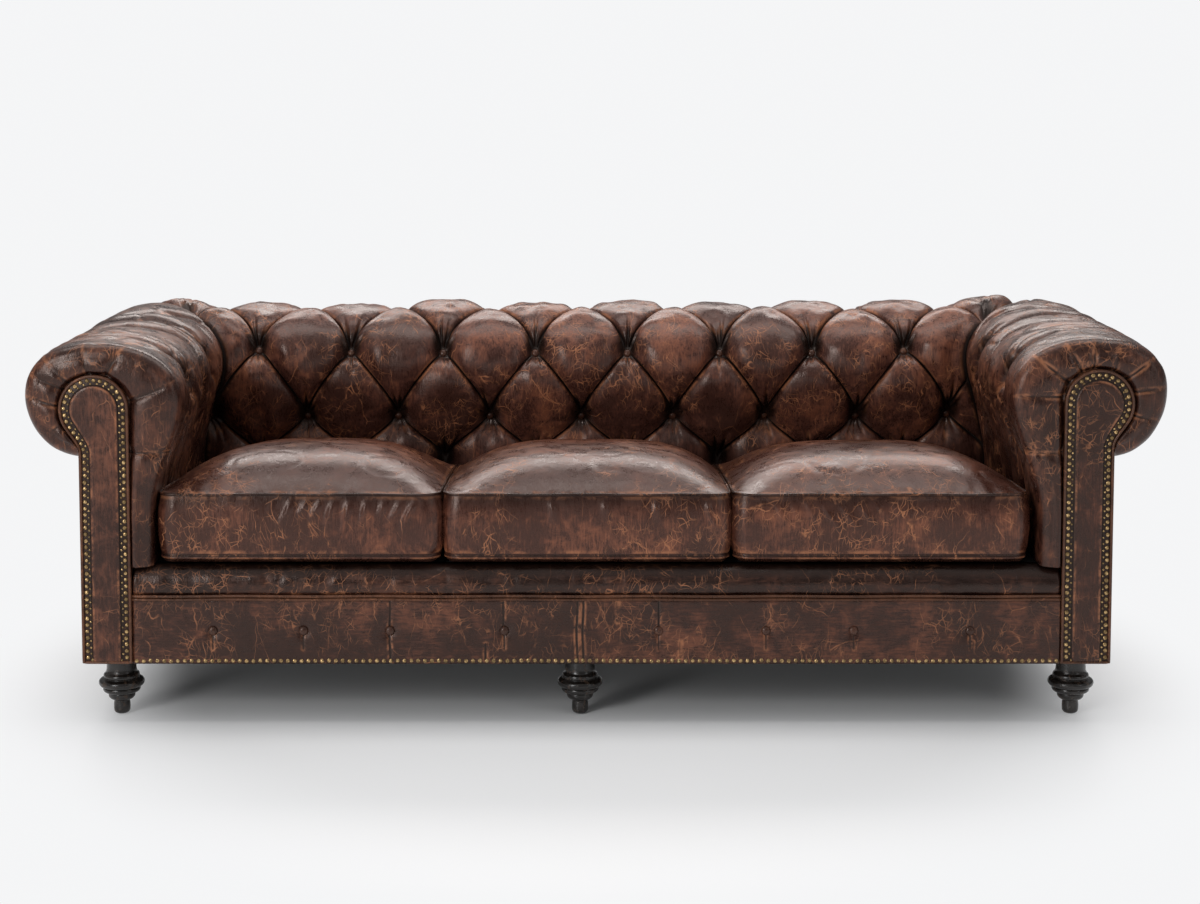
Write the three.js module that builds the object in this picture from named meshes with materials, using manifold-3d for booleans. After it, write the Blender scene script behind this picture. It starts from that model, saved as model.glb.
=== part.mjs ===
// A three-seat rolled-arm sofa in worn leather: beech frame, zigzag seat springs, deep-buttoned
// inside back and arms, three loose boxed cushions, keyhole arm facings and six turned feet.
// Millimetres, +X to the right as seen from the front, +Y towards the back, +Z up. The origin is
// on the floor, at the middle of the bounding box. Left and right are as seen from the front.

import * as THREE from "three";
import { mergeVertices } from "three/addons/utils/BufferGeometryUtils.js";
import Module from "manifold-3d";

const wasm = await Module();
wasm.setup();

// ---------------------------------------------------------------- driving dimensions

const HALF_WIDTH = 1139; // to the outermost point of an arm roll
const HALF_DEPTH = 455; // arm facing in front, back roll behind
const BASE_Z = 118; // underside of the upholstered base
const SEAT_Z = 316; // top of the sprung deck and of the front lip
const CREST_Z = 765; // top of the left arm roll
const ARM_LIFT = { left: 0, right: 11 }; // the right roll has kept more of its stuffing
const BACK_LIFT = -8; // the back's crest has settled a little below the arms
const GAP = 0.5; // between soft parts and what they lie against

// The arms and the back share one section, so the back is the arm section moved by this much.
const INSIDE_X = 890; // inside face of the arm at the seat
const BULGE_X = 831; // fullest point of the inside arm
const HEAD_X = 1002; // axis of the roll's timber head
const HEAD_Z = 636;
const HEAD_R = 70;
const FRAME_IN_X = 932; // inner side of the facing and of the timber
const OUTSIDE_X = 1033; // outside arm panel
const NECK_Z = 538; // where the roll meets the outside panel
const BACK_SHIFT = HALF_WIDTH - HALF_DEPTH;

const CORNER_R = 190; // plan radius of the roll at the rear corners
const FACING_T = 18;
const PANEL_T = 6;
const RAIL_T = 34;
const RAIL_TOP = 245;
const RAIL_BOTTOM = BASE_Z + 2;
const FRAME_FRONT = -436; // front face of the timber
const FRAME_BACK = 340;
const LIP_Z = 256; // lower edge of the front lip

// The middle foot, the cushions and the centre rail all sit a little off the centre line.
const CENTRE_X = -33;
const CUSHIONS = { left: [-880, -313], middle: [-308, 270], right: [275, 868] };
const CUSHION_Y = [-438, 190];
const CUSHION_SEAM_Z = 462;
const CUSHION_CROWN = 74;
const CUSHION_SETTLE = 54; // how much lower the seam runs at the back than in front

const FOOT_X = 968;
const FOOT_Y = { front: -385, rear: 285 };
const BOLT_R = 5;
const BOLT_Z = [82, 156];
const BLOCK_H = 40;

const SPRING_WIRE_R = 2;
const SPRING_LIFT = 4; // from the rail's top to the wire's axis in its clip
const SPRING_ARCH = 32;
const SPRINGS_PER_SEAT = 3;

// ---------------------------------------------------------------- materials

const finish = (color, roughness, metalness = 0) =>
  new THREE.MeshStandardMaterial({ color, roughness, metalness });

const leather = finish(0x4a2a1f, 0.45);
const cushionLeather = finish(0x5a3427, 0.4);
const facingLeather = finish(0x3d231b, 0.45);
const beech = finish(0xb98f62, 0.7);
const ebonised = finish(0x1f1512, 0.3);
const springSteel = finish(0x6f7276, 0.4, 0.9);
const zincSteel = finish(0xa8a9a4, 0.35, 0.9);
const jute = finish(0xa88d62, 0.95);
const blackCloth = finish(0x161616, 0.95);

// ---------------------------------------------------------------- helpers

function node(name, geometry, material) {
  const mesh = new THREE.Mesh(geometry, material);
  mesh.name = name;
  return mesh;
}

// Stands a section drawn in (x, height) up and runs it from y0 back to y1.
function runAlongY(name, shape, [y0, y1], material, curveSegments = 8) {
  const settings = { depth: y1 - y0, bevelEnabled: false, curveSegments };
  const mesh = node(name, new THREE.ExtrudeGeometry(shape, settings), material);
  mesh.rotation.x = Math.PI / 2;
  mesh.position.y = y1;
  return mesh;
}

// Stands a section drawn in (y, height) up and runs it from x0 to x1.
function runAlongX(name, shape, [x0, x1], material, curveSegments = 8) {
  const settings = { depth: x1 - x0, bevelEnabled: false, curveSegments };
  const mesh = node(name, new THREE.ExtrudeGeometry(shape, settings), material);
  mesh.rotation.set(Math.PI / 2, Math.PI / 2, 0);
  mesh.position.x = x0;
  return mesh;
}

function board(name, [x0, x1], [y0, y1], [z0, z1], material = beech) {
  const mesh = node(name, new THREE.BoxGeometry(x1 - x0, y1 - y0, z1 - z0), material);
  mesh.position.set((x0 + x1) / 2, (y0 + y1) / 2, (z0 + z1) / 2);
  return mesh;
}

// Ranges of x are given for the right-hand side and mirrored for the left.
const sides = [
  { side: "left", sign: -1 },
  { side: "right", sign: 1 },
];
const mirrored = (sign, [a, b]) => (sign > 0 ? [a, b] : [-b, -a]);

function solidOf(mesh) {
  mesh.updateMatrixWorld(true);
  const bare = mesh.geometry.clone().applyMatrix4(mesh.matrixWorld);
  bare.deleteAttribute("normal");
  bare.deleteAttribute("uv");
  const merged = mergeVertices(bare, 1e-3);
  return new wasm.Manifold(
    new wasm.Mesh({
      numProp: 3,
      vertProperties: merged.attributes.position.array,
      triVerts: new Uint32Array(merged.index.array),
    }),
  );
}

function geometryOf(solid) {
  const mesh = solid.getMesh();
  return new THREE.BufferGeometry()
    .setAttribute("position", new THREE.BufferAttribute(mesh.vertProperties, 3))
    .setIndex(new THREE.BufferAttribute(mesh.triVerts, 1))
    .toNonIndexed();
}

// Keeps what of a mesh stands over a plan outline, given as a shape in (x, y).
function cutToPlan(mesh, plan) {
  const settings = { depth: 1000, bevelEnabled: false, curveSegments: 10 };
  const prism = node("plan", new THREE.ExtrudeGeometry(plan, settings));
  const kept = solidOf(mesh).intersect(solidOf(prism));
  return node(mesh.name, geometryOf(kept), mesh.material);
}

// ---------------------------------------------------------------- the shared roll section

// The keyhole: timber head and post as one outline, open at its foot. It is drawn from the
// inner foot, up, round the head and down to the neck. shift moves it inwards for the back.
function keyhole(path, { lift, inner, outer, radius, sign = 1, shift = 0 }) {
  const x = (value) => sign * (value - shift);
  const z = HEAD_Z + lift;
  const neck = THREE.MathUtils.degToRad(-35);
  path.lineTo(x(inner), z);
  for (let step = 1; step <= 12; step++) {
    const angle = Math.PI + ((neck - Math.PI) * step) / 12;
    path.lineTo(x(HEAD_X + radius * Math.cos(angle)), z + radius * Math.sin(angle));
  }
  path.bezierCurveTo(x(HEAD_X + 43), z - 60, x(outer + 1.5), z - 70, x(outer), z - 86);
}

// The padded hook over the keyhole: inside face, bulge, crest, outer roll and neck.
function hookShape({ lift, sign = 1, shift = 0 }) {
  const x = (value) => sign * (value - shift);
  const shape = new THREE.Shape();
  const top = CREST_Z + lift;
  const bulge = HEAD_Z + 14 + lift;
  const wide = HEAD_Z + 24 + lift;
  shape.moveTo(x(INSIDE_X), SEAT_Z + GAP);
  shape.lineTo(x(INSIDE_X), SEAT_Z + 94);
  shape.bezierCurveTo(x(INSIDE_X), SEAT_Z + 194, x(BULGE_X), bulge - 80, x(BULGE_X), bulge);
  shape.bezierCurveTo(x(BULGE_X), top - 40, x(905), top, x(1000), top);
  shape.bezierCurveTo(x(1085), top, x(HALF_WIDTH), top - 33, x(HALF_WIDTH), wide);
  shape.bezierCurveTo(x(HALF_WIDTH), wide - 60, x(1098), NECK_Z + 10, x(OUTSIDE_X + 3), NECK_Z);
  const inside = new THREE.Path();
  inside.moveTo(x(FRAME_IN_X), SEAT_Z + GAP);
  keyhole(inside, { lift, inner: FRAME_IN_X, outer: OUTSIDE_X + GAP, radius: HEAD_R, sign, shift });
  const returning = inside.getPoints(5).reverse();
  returning.forEach((point) => shape.lineTo(point.x, point.y));
  shape.closePath();
  return shape;
}

function facingShape({ lift, sign, inset, foot }) {
  const shape = new THREE.Shape();
  const inner = FRAME_IN_X + GAP + inset;
  const outer = OUTSIDE_X - inset;
  shape.moveTo(sign * inner, foot);
  keyhole(shape, { lift, inner, outer, radius: HEAD_R - GAP - inset, sign });
  shape.lineTo(sign * outer, foot);
  shape.closePath();
  return shape;
}

// ---------------------------------------------------------------- upholstery

// Plan outlines that mitre an arm against the back at 45 degrees and round the rear corner.
function armPlan(sign) {
  const plan = new THREE.Shape();
  const mitre = (x) => x - BACK_SHIFT - GAP;
  const bend = (1 - Math.SQRT1_2) * CORNER_R;
  plan.moveTo(sign * 700, -HALF_DEPTH - 50);
  plan.lineTo(sign * (HALF_WIDTH + 1), -HALF_DEPTH - 50);
  plan.lineTo(sign * (HALF_WIDTH + 1), HALF_DEPTH - CORNER_R);
  plan.quadraticCurveTo(
    sign * (HALF_WIDTH + 1), HALF_DEPTH - CORNER_R / 2,
    sign * (HALF_WIDTH - bend), mitre(HALF_WIDTH - bend),
  );
  plan.lineTo(sign * 700, mitre(700));
  plan.closePath();
  return plan;
}

function backPlan() {
  const plan = new THREE.Shape();
  const bend = (1 - Math.SQRT1_2) * CORNER_R;
  const corner = HALF_WIDTH - bend;
  const mitre = (x) => x - BACK_SHIFT + GAP;
  plan.moveTo(-700, mitre(700));
  plan.lineTo(700, mitre(700));
  plan.lineTo(corner, mitre(corner));
  plan.quadraticCurveTo(HALF_WIDTH - CORNER_R / 2, HALF_DEPTH + 1, HALF_WIDTH - CORNER_R, HALF_DEPTH + 1);
  plan.lineTo(CORNER_R - HALF_WIDTH, HALF_DEPTH + 1);
  plan.quadraticCurveTo(CORNER_R / 2 - HALF_WIDTH, HALF_DEPTH + 1, -corner, mitre(corner));
  plan.closePath();
  return plan;
}

function insideArm({ side, sign }) {
  const section = hookShape({ lift: ARM_LIFT[side], sign });
  const run = runAlongY(`inside_arm_${side}`, section, [FRAME_FRONT - 14, HALF_DEPTH], leather);
  return cutToPlan(run, armPlan(sign));
}

function insideBack() {
  const section = hookShape({ lift: BACK_LIFT, shift: BACK_SHIFT });
  const run = runAlongX("inside_back", section, [-HALF_WIDTH, HALF_WIDTH], leather);
  return cutToPlan(run, backPlan());
}

function armFacing({ side, sign }) {
  const outline = facingShape({ lift: ARM_LIFT[side], sign, inset: 0, foot: BASE_Z });
  const span = [-HALF_DEPTH, -HALF_DEPTH + FACING_T];
  return runAlongY(`arm_facing_${side}`, outline, span, facingLeather);
}

function outsideArm({ side, sign }) {
  const x = mirrored(sign, [OUTSIDE_X - PANEL_T, OUTSIDE_X]);
  const y = [FRAME_FRONT - GAP, FRAME_BACK + 2];
  return board(`outside_arm_${side}`, x, y, [BASE_Z, NECK_Z - 2], leather);
}

function outsideBack() {
  const y = [FRAME_BACK + 3, FRAME_BACK + 3 + PANEL_T];
  return board("outside_back", [-OUTSIDE_X, OUTSIDE_X], y, [BASE_Z, NECK_Z - 2], leather);
}

// The padded bar along the front edge of the seat, rounded in front and on top.
function frontLip() {
  const [front, rear] = [-HALF_DEPTH + 4, -395];
  const shape = new THREE.Shape();
  shape.moveTo(front + 10, LIP_Z);
  shape.bezierCurveTo(front - 2, LIP_Z + 8, front - 2, SEAT_Z - 8, front + 26, SEAT_Z);
  shape.lineTo(rear, SEAT_Z);
  shape.lineTo(rear, LIP_Z);
  shape.closePath();
  return runAlongX("front_lip", shape, mirrored(1, [-FRAME_IN_X + 3, FRAME_IN_X - 3]), leather);
}

function frontBorder() {
  const x = [GAP - FRAME_IN_X, FRAME_IN_X - GAP];
  return board("front_border", x, [-HALF_DEPTH + 7, FRAME_FRONT - GAP], [BASE_Z, LIP_Z - 2], leather);
}

// A boxed cushion: flat sides up to a seam that falls towards the back, and a crowned top.
function seatCushion(place, [x0, x1]) {
  const width = x1 - x0;
  const [y0, y1] = CUSHION_Y;
  const bottom = SEAT_Z + GAP;
  const height = CUSHION_SEAM_Z - bottom;
  const box = new THREE.BoxGeometry(width, y1 - y0, height, 8, 8, 1);
  const position = box.attributes.position;
  for (let i = 0; i < position.count; i++) {
    const across = (2 * position.getX(i)) / width;
    const along = (2 * position.getY(i)) / (y1 - y0);
    const crown = CUSHION_CROWN * (1 - across ** 4) * (1 - along ** 4);
    const settle = CUSHION_SETTLE * ((1 + along) / 2) ** 1.3;
    if (position.getZ(i) > 0) position.setZ(i, height / 2 + crown - settle);
  }
  const mesh = node(`seat_cushion_${place}`, box, cushionLeather);
  mesh.position.set((x0 + x1) / 2, (y0 + y1) / 2, bottom + height / 2);
  return mesh;
}

// ---------------------------------------------------------------- feet

// Half-section of a turned foot: flat tip, peg, bowl, ring, bead, cove and collar.
const FOOT_PROFILE = [
  [0, 0], [9, 0], [14, 3], [16, 10], [16.5, 20], [15.5, 29], [24, 34], [27, 43],
  [37, 47], [38, 55], [45, 60], [46, 67], [41, 74], [35, 77], [36, 84], [30, 92], [30, BASE_Z],
];

function foot(name, x, y) {
  const bore = [[BOLT_R + GAP, BASE_Z], [BOLT_R + GAP, BOLT_Z[0] - GAP], [0, BOLT_Z[0] - GAP]];
  const profile = [...FOOT_PROFILE, ...bore].map(([r, z]) => new THREE.Vector2(r, z));
  const mesh = node(name, new THREE.LatheGeometry(profile, 16), ebonised);
  mesh.rotation.x = Math.PI / 2;
  mesh.position.set(x, y, 0);
  return mesh;
}

function footBolt(name, x, y) {
  const [z0, z1] = BOLT_Z;
  const mesh = node(name, new THREE.CylinderGeometry(BOLT_R, BOLT_R, z1 - z0, 10), zincSteel);
  mesh.rotation.x = Math.PI / 2;
  mesh.position.set(x, y, (z0 + z1) / 2);
  return mesh;
}

// A corner block, glued between the rails, that the foot's bolt screws up into.
function footBlock(name, [x0, x1], [y0, y1], boltX, boltY) {
  const plan = new THREE.Shape();
  plan.moveTo(x0, y0);
  plan.lineTo(x1, y0);
  plan.lineTo(x1, y1);
  plan.lineTo(x0, y1);
  plan.closePath();
  plan.holes.push(new THREE.Path().absarc(boltX, boltY, BOLT_R + GAP, 0, 2 * Math.PI));
  const settings = { depth: BLOCK_H, bevelEnabled: false, curveSegments: 8 };
  const mesh = node(name, new THREE.ExtrudeGeometry(plan, settings), beech);
  mesh.position.z = RAIL_BOTTOM;
  return mesh;
}

function footSet() {
  const group = new THREE.Group();
  const columns = [
    { column: "left", x: -FOOT_X, block: [-989, -938] },
    { column: "centre", x: CENTRE_X, block: [-75, 4] },
    { column: "right", x: FOOT_X, block: [938, 989] },
  ];
  const rows = [
    { row: "front", y: FOOT_Y.front, block: [FRAME_FRONT + RAIL_T + 1.5, -345] },
    { row: "rear", y: FOOT_Y.rear, block: [255, FRAME_BACK - RAIL_T - GAP] },
  ];
  for (const { row, y, block: blockY } of rows) {
    for (const { column, x, block: blockX } of columns) {
      group.add(foot(`foot_${row}_${column}`, x, y));
      group.add(footBolt(`foot_bolt_${row}_${column}`, x, y));
      group.add(footBlock(`foot_block_${row}_${column}`, blockX, blockY, x, y));
    }
  }
  return group;
}

// ---------------------------------------------------------------- timber frame

function frame() {
  const group = new THREE.Group();
  const rails = [RAIL_BOTTOM, RAIL_TOP];
  const tack = [SEAT_Z - 16, SEAT_Z + 24];
  const head = [HEAD_Z - 20, HEAD_Z + 20];
  const headX = [FRAME_IN_X + 5, HEAD_X + 45];
  const backY = (range) => range.map((value) => value - BACK_SHIFT);
  const front = [FRAME_FRONT, FRAME_FRONT + RAIL_T];
  const rear = [FRAME_BACK - RAIL_T, FRAME_BACK];
  const behindPost = FRAME_FRONT + 36;
  const backHead = head.map((z) => z + BACK_LIFT);
  const postTop = backHead[0] - GAP;
  const blockTop = RAIL_BOTTOM + BLOCK_H;

  group.add(board("front_seat_rail", [-935, 935], front, rails));
  group.add(board("rear_seat_rail", [-949, 949], rear, rails));
  const centreY = [front[1] + GAP, rear[0] - GAP];
  const centreX = [CENTRE_X + 38, CENTRE_X + 38 + RAIL_T];
  group.add(board("centre_seat_rail", centreX, centreY, [RAIL_BOTTOM, RAIL_TOP - 35]));
  group.add(board("back_top_rail", [-headX[1], headX[1]], backY(headX), backHead));
  group.add(board("back_tack_rail", [-936, 936], backY([937, 937 + RAIL_T]), tack));

  for (const { side, sign } of sides) {
    const x = (range) => mirrored(sign, range);
    const lengthY = [behindPost, 265.5];
    const inset = PANEL_T + 2 * GAP;
    const scroll = facingShape({ lift: ARM_LIFT[side], sign, inset, foot: RAIL_BOTTOM });
    group.add(runAlongY(`front_post_${side}`, scroll, [FRAME_FRONT, behindPost - GAP], beech));
    group.add(board(`rear_post_${side}`, x([950, 1026]), [266, 342], [blockTop + 1, postTop]));
    group.add(board(`side_rail_${side}`, x([990, 990 + RAIL_T]), lengthY, rails));
    group.add(board(`arm_tack_rail_${side}`, x([937, 937 + RAIL_T]), lengthY, tack));
    group.add(board(`arm_rail_${side}`, x(headX), [behindPost, backY(headX)[0] - GAP], head));
  }
  return group;
}

// ---------------------------------------------------------------- springs and cloths

// One zigzag spring, clipped to the front and rear rails and arched between them.
class ZigzagLine extends THREE.Curve {
  getPoint(t) {
    const loops = 7;
    const swing = 24 * Math.sin(2 * Math.PI * loops * t);
    const arch = SPRING_ARCH * Math.sin(Math.PI * t);
    const reach = THREE.MathUtils.lerp(FRAME_FRONT + 12, FRAME_BACK - 12, t);
    return new THREE.Vector3(swing, reach, RAIL_TOP + SPRING_LIFT + arch);
  }
}

function springSet() {
  const group = new THREE.Group();
  const section = new THREE.Shape().absarc(0, 0, SPRING_WIRE_R, 0, 2 * Math.PI);
  const settings = { steps: 42, curveSegments: 3, bevelEnabled: false, extrudePath: new ZigzagLine() };
  let number = 0;
  for (const [x0, x1] of Object.values(CUSHIONS)) {
    for (let place = 0; place < SPRINGS_PER_SEAT; place++) {
      number += 1;
      const wire = node(`seat_spring_${number}`, new THREE.ExtrudeGeometry(section, settings), springSteel);
      wire.position.x = x0 + ((place + 0.5) * (x1 - x0)) / SPRINGS_PER_SEAT;
      group.add(wire);
    }
  }
  return group;
}

// The black cloth under the seat, stapled to the rails, with a hole for each foot's bolt.
function dustCover() {
  const plan = new THREE.Shape();
  const [x, y0, y1] = [1024, FRAME_FRONT + 1, FRAME_BACK];
  plan.moveTo(-x, y0);
  plan.lineTo(x, y0);
  plan.lineTo(x, y1);
  plan.lineTo(-x, y1);
  plan.closePath();
  for (const boltY of Object.values(FOOT_Y)) {
    for (const boltX of [-FOOT_X, CENTRE_X, FOOT_X]) {
      plan.holes.push(new THREE.Path().absarc(boltX, boltY, BOLT_R + 2, 0, 2 * Math.PI));
    }
  }
  const settings = { depth: 1.4, bevelEnabled: false, curveSegments: 6 };
  const mesh = node("dust_cover", new THREE.ExtrudeGeometry(plan, settings), blackCloth);
  mesh.position.z = BASE_Z + 0.3;
  return mesh;
}

function cloths() {
  const group = new THREE.Group();
  const upright = [SEAT_Z + 2, HEAD_Z - 30];
  const backY = FRAME_IN_X + 1 - BACK_SHIFT;
  const deck = [RAIL_TOP + SPRING_LIFT + SPRING_ARCH + SPRING_WIRE_R + GAP, SEAT_Z];
  group.add(dustCover());
  group.add(board("seat_deck", [-930, 930], [-394, backY - 2], deck, blackCloth));
  group.add(board("back_hessian", [-930, 930], [backY, backY + 3], upright, jute));
  for (const { side, sign } of sides) {
    const x = mirrored(sign, [FRAME_IN_X + 1, FRAME_IN_X + 4]);
    group.add(board(`arm_hessian_${side}`, x, [FRAME_FRONT + 36, backY - 1], upright, jute));
  }
  return group;
}

// ---------------------------------------------------------------- the sofa

const sofa = new THREE.Group();
sofa.add(footSet(), frame(), springSet(), cloths());
sofa.add(insideBack(), outsideBack(), frontLip(), frontBorder());
for (const end of sides) {
  sofa.add(insideArm(end), armFacing(end), outsideArm(end));
}
for (const [place, span] of Object.entries(CUSHIONS)) {
  sofa.add(seatCushion(place, span));
}

export default sofa;
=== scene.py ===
"""A long rolled-arm sofa in worn brown leather: buttoned inside back and arms, three loose boxed
cushions, keyhole arm facings with two rows of brass nails, and six turned feet.

Metres, +X to the right as seen from the front, +Y towards the back, +Z up, origin on the floor.
"""

import math

import bmesh
import bpy
import numpy as np
from bpy.props import FloatProperty, FloatVectorProperty, PointerProperty
from bpy.types import Operator, Panel, PropertyGroup
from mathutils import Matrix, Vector


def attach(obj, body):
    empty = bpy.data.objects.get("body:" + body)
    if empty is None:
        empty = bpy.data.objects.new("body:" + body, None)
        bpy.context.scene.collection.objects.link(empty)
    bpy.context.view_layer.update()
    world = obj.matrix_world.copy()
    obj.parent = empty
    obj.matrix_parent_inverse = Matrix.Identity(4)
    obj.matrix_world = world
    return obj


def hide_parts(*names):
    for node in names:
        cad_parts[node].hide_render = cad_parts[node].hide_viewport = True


bl_info = {
    "name": "Worn leather sofa",
    "version": (1, 0, 0),
    "blender": (4, 5, 0),
    "location": "View3D > Sidebar > Sofa",
    "description": "Builds the looks of a worn rolled-arm sofa round its CAD frame",
    "category": "Add Mesh",
}

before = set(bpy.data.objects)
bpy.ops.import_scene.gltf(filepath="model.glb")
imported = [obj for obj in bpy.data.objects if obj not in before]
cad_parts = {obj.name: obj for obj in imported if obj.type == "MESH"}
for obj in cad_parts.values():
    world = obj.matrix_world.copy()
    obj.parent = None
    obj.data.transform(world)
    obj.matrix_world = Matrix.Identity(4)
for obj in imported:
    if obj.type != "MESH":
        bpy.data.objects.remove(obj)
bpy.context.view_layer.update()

# ------------------------------------------------------------------ sizes shared with the frame

HALF_WIDTH = 1.139  # over the rolls of the arms
HALF_DEPTH = 0.455
FRONT_Y = -HALF_DEPTH
BACK_SHIFT = HALF_WIDTH - HALF_DEPTH  # how much nearer the middle the back's roll lies than the arms'
BASE_Z = 0.118  # underside of the body, on its feet
LIP_Z = 0.256  # foot of the padded lip
SEAT_Z = 0.316  # top of the lip, under the cushions
NECK_Z = 0.538  # where the rolls end, over the outside panels
CREST_Z = 0.765  # top of the rolls
INSIDE_X = 0.890  # inside face of an arm at the seat
BULGE_X = 0.831  # and at its fullest
HEAD_X, HEAD_Z, HEAD_R = 1.002, 0.636, 0.070  # the round head of a keyhole facing
FRAME_IN_X, OUTSIDE_X = 0.932, 1.033  # the two edges of a facing below its head
CENTRE_X = -0.033  # the middle foot, which stands a little to the left
ARM_LIFT = {-1: 0.0, 1: 0.011}  # the right arm's roll stands higher
BACK_LIFT = -0.008  # and the back's has settled
SIDE_NAME = {-1: "left", 1: "right"}


# ------------------------------------------------------------------ shader helpers

def add_node(tree, kind, inputs=None, **settings):
    node = tree.nodes.new(kind)
    for key, value in settings.items():
        setattr(node, key, value)
    for socket, source in (inputs or {}).items():
        if isinstance(source, bpy.types.NodeSocket):
            tree.links.new(source, node.inputs[socket])
        else:
            node.inputs[socket].default_value = source
    return node


def math_node(tree, operation, first, second=0.0, clamp=False):
    inputs = {0: first, 1: second}
    return add_node(tree, "ShaderNodeMath", inputs, operation=operation, use_clamp=clamp).outputs[0]


def times(tree, first, second, clamp=False):
    return math_node(tree, "MULTIPLY", first, second, clamp)


def plus(tree, first, second, clamp=False):
    return math_node(tree, "ADD", first, second, clamp)


def vector_node(tree, operation, inputs, output=0):
    return add_node(tree, "ShaderNodeVectorMath", inputs, operation=operation).outputs[output]


def ramp(tree, value, low, high, start=0.0, end=1.0):
    """Maps low..high smoothly onto start..end."""
    inputs = {"Value": value, "From Min": low, "From Max": high, "To Min": start, "To Max": end}
    return add_node(tree, "ShaderNodeMapRange", inputs, interpolation_type="SMOOTHSTEP").outputs[0]


# Sockets of a Mix node by number, since its names stand for several types at once.
MIX_FACTOR, MIX_FIRST, MIX_SECOND, MIX_COLOUR = 0, 6, 7, 2


def mix_colour(tree, factor, first, second):
    inputs = {MIX_FACTOR: factor, MIX_FIRST: first, MIX_SECOND: second}
    return add_node(tree, "ShaderNodeMix", inputs, data_type="RGBA").outputs[MIX_COLOUR]


def noise(tree, where, scale, detail=3.0, rough=0.5, distort=0.0):
    inputs = {"Vector": where, "Scale": scale, "Detail": detail, "Roughness": rough, "Distortion": distort}
    return add_node(tree, "ShaderNodeTexNoise", inputs).outputs["Fac"]


def cell_edges(tree, where, scale):
    inputs = {"Vector": where, "Scale": scale}
    return add_node(tree, "ShaderNodeTexVoronoi", inputs, feature="DISTANCE_TO_EDGE").outputs["Distance"]


def stretched(tree, where, scale, turn=(0.0, 0.0, 0.0)):
    return add_node(tree, "ShaderNodeMapping", {"Vector": where, "Scale": scale, "Rotation": turn}).outputs[0]


def warped(tree, where, scale, amount):
    """Moves the coordinates about with coloured noise."""
    inputs = {"Vector": where, "Scale": scale, "Detail": 3.0}
    colour = add_node(tree, "ShaderNodeTexNoise", inputs).outputs["Color"]
    centred = vector_node(tree, "SUBTRACT", {0: colour, 1: (0.5, 0.5, 0.5)})
    scaled = vector_node(tree, "SCALE", {0: centred, "Scale": amount})
    return vector_node(tree, "ADD", {0: where, 1: scaled})


def attribute(tree, name):
    return add_node(tree, "ShaderNodeAttribute", attribute_name=name).outputs["Fac"]


def object_place(tree):
    return add_node(tree, "ShaderNodeTexCoord").outputs["Object"]


def new_group(name, inputs, outputs):
    """An empty node group with its named sockets, and its input and output nodes."""
    group = bpy.data.node_groups.new(name, "ShaderNodeTree")
    for label, kind in inputs:
        group.interface.new_socket(label, in_out="INPUT", socket_type="NodeSocket" + kind)
    for label, kind in outputs:
        group.interface.new_socket(label, in_out="OUTPUT", socket_type="NodeSocket" + kind)
    return group, group.nodes.new("NodeGroupInput").outputs, group.nodes.new("NodeGroupOutput").inputs


def use_group(tree, group, inputs):
    return add_node(tree, "ShaderNodeGroup", inputs, node_tree=group).outputs


def new_material(name):
    material = bpy.data.materials.new(name)
    material.use_nodes = True
    return material, material.node_tree, material.node_tree.nodes["Principled BSDF"]


def bump(tree, height, strength, distance, surface):
    inputs = {"Height": height, "Strength": strength, "Distance": distance}
    tree.links.new(add_node(tree, "ShaderNodeBump", inputs).outputs[0], surface.inputs["Normal"])


# ------------------------------------------------------------------ settings

def length_setting(name, description, value):
    """A setting in metres."""
    return FloatProperty(name=name, description=description, default=value, unit="LENGTH")


def colour_setting(name, value):
    return FloatVectorProperty(
        name=name, description=name + " of the leather", default=value, size=3, subtype="COLOR", min=0, max=1
    )


class SOFA_PG_colours(PropertyGroup):
    # The inside back's colour is its hide lightened towards grey, in part a painted sheen on the pads.
    inside: colour_setting("Inside back", (0.108, 0.0405, 0.0290))
    arm: colour_setting("Inside arms", (0.051, 0.0172, 0.0115))
    cushion: colour_setting("Cushions", (0.078, 0.0250, 0.0155))
    border: colour_setting("Front border", (0.052, 0.0172, 0.0110))
    facing: colour_setting("Arm facings", (0.055, 0.0184, 0.0122))
    piping: colour_setting("Piping", (0.125, 0.046, 0.021))
    button: colour_setting("Buttons", (0.085, 0.033, 0.020))
    # Rubbed wear on high places, in part a painted highlight where light falls on the tops.
    rubbed_and_sheen: colour_setting("Rubbed high places", (0.225, 0.078, 0.040))
    bare: colour_setting("Scratches and bare edges", (0.40, 0.160, 0.074))
    sheen: colour_setting("Sheen", (1.0, 0.81, 0.735))
    dark_share: FloatProperty(name="Dark share", description="Brightness of the dark blotches", default=0.26)


# ------------------------------------------------------------------ material effects

def scratches_group():
    """Hair-thin jagged marks in patches: nets of warped cell edges, coarse to fine."""
    group, given, result = new_group(
        "Scratches",
        [("Vector", "Vector"), ("Density", "Float")],
        [("Mask", "Float")],
    )
    patch = noise(group, given["Vector"], 5.5, 3.0, 0.6)
    where = warped(group, warped(group, given["Vector"], 7.0, 0.10), 70.0, 0.0045)
    lines = None
    for scale, squeeze, turn, width, low in (
        (12.0, (1.0, 0.6, 0.4), (0.3, 0.5, 0.4), 0.007, 0.38),
        (22.0, (0.5, 0.8, 0.6), (0.8, -0.8, 0.4), 0.010, 0.44),
        (40.0, (1.0, 0.8, 0.4), (0.3, 0.2, 0.0), 0.017, 0.44),
        (78.0, (0.8, 0.8, 0.45), (0.1, 0.7, 0.3), 0.034, 0.46),
    ):
        gap = cell_edges(group, stretched(group, where, squeeze, turn), scale)
        net = ramp(group, gap, 0.002, width, 1.0, 0.0)
        net = times(group, net, ramp(group, patch, low, low + 0.09))
        lines = net if lines is None else math_node(group, "MAXIMUM", lines, net)
    breaks = ramp(group, noise(group, given["Vector"], 42.0, 2.0), 0.38, 0.64)
    lines = times(group, lines, breaks)
    group.links.new(times(group, lines, given["Density"], True), result["Mask"])
    return group


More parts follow.
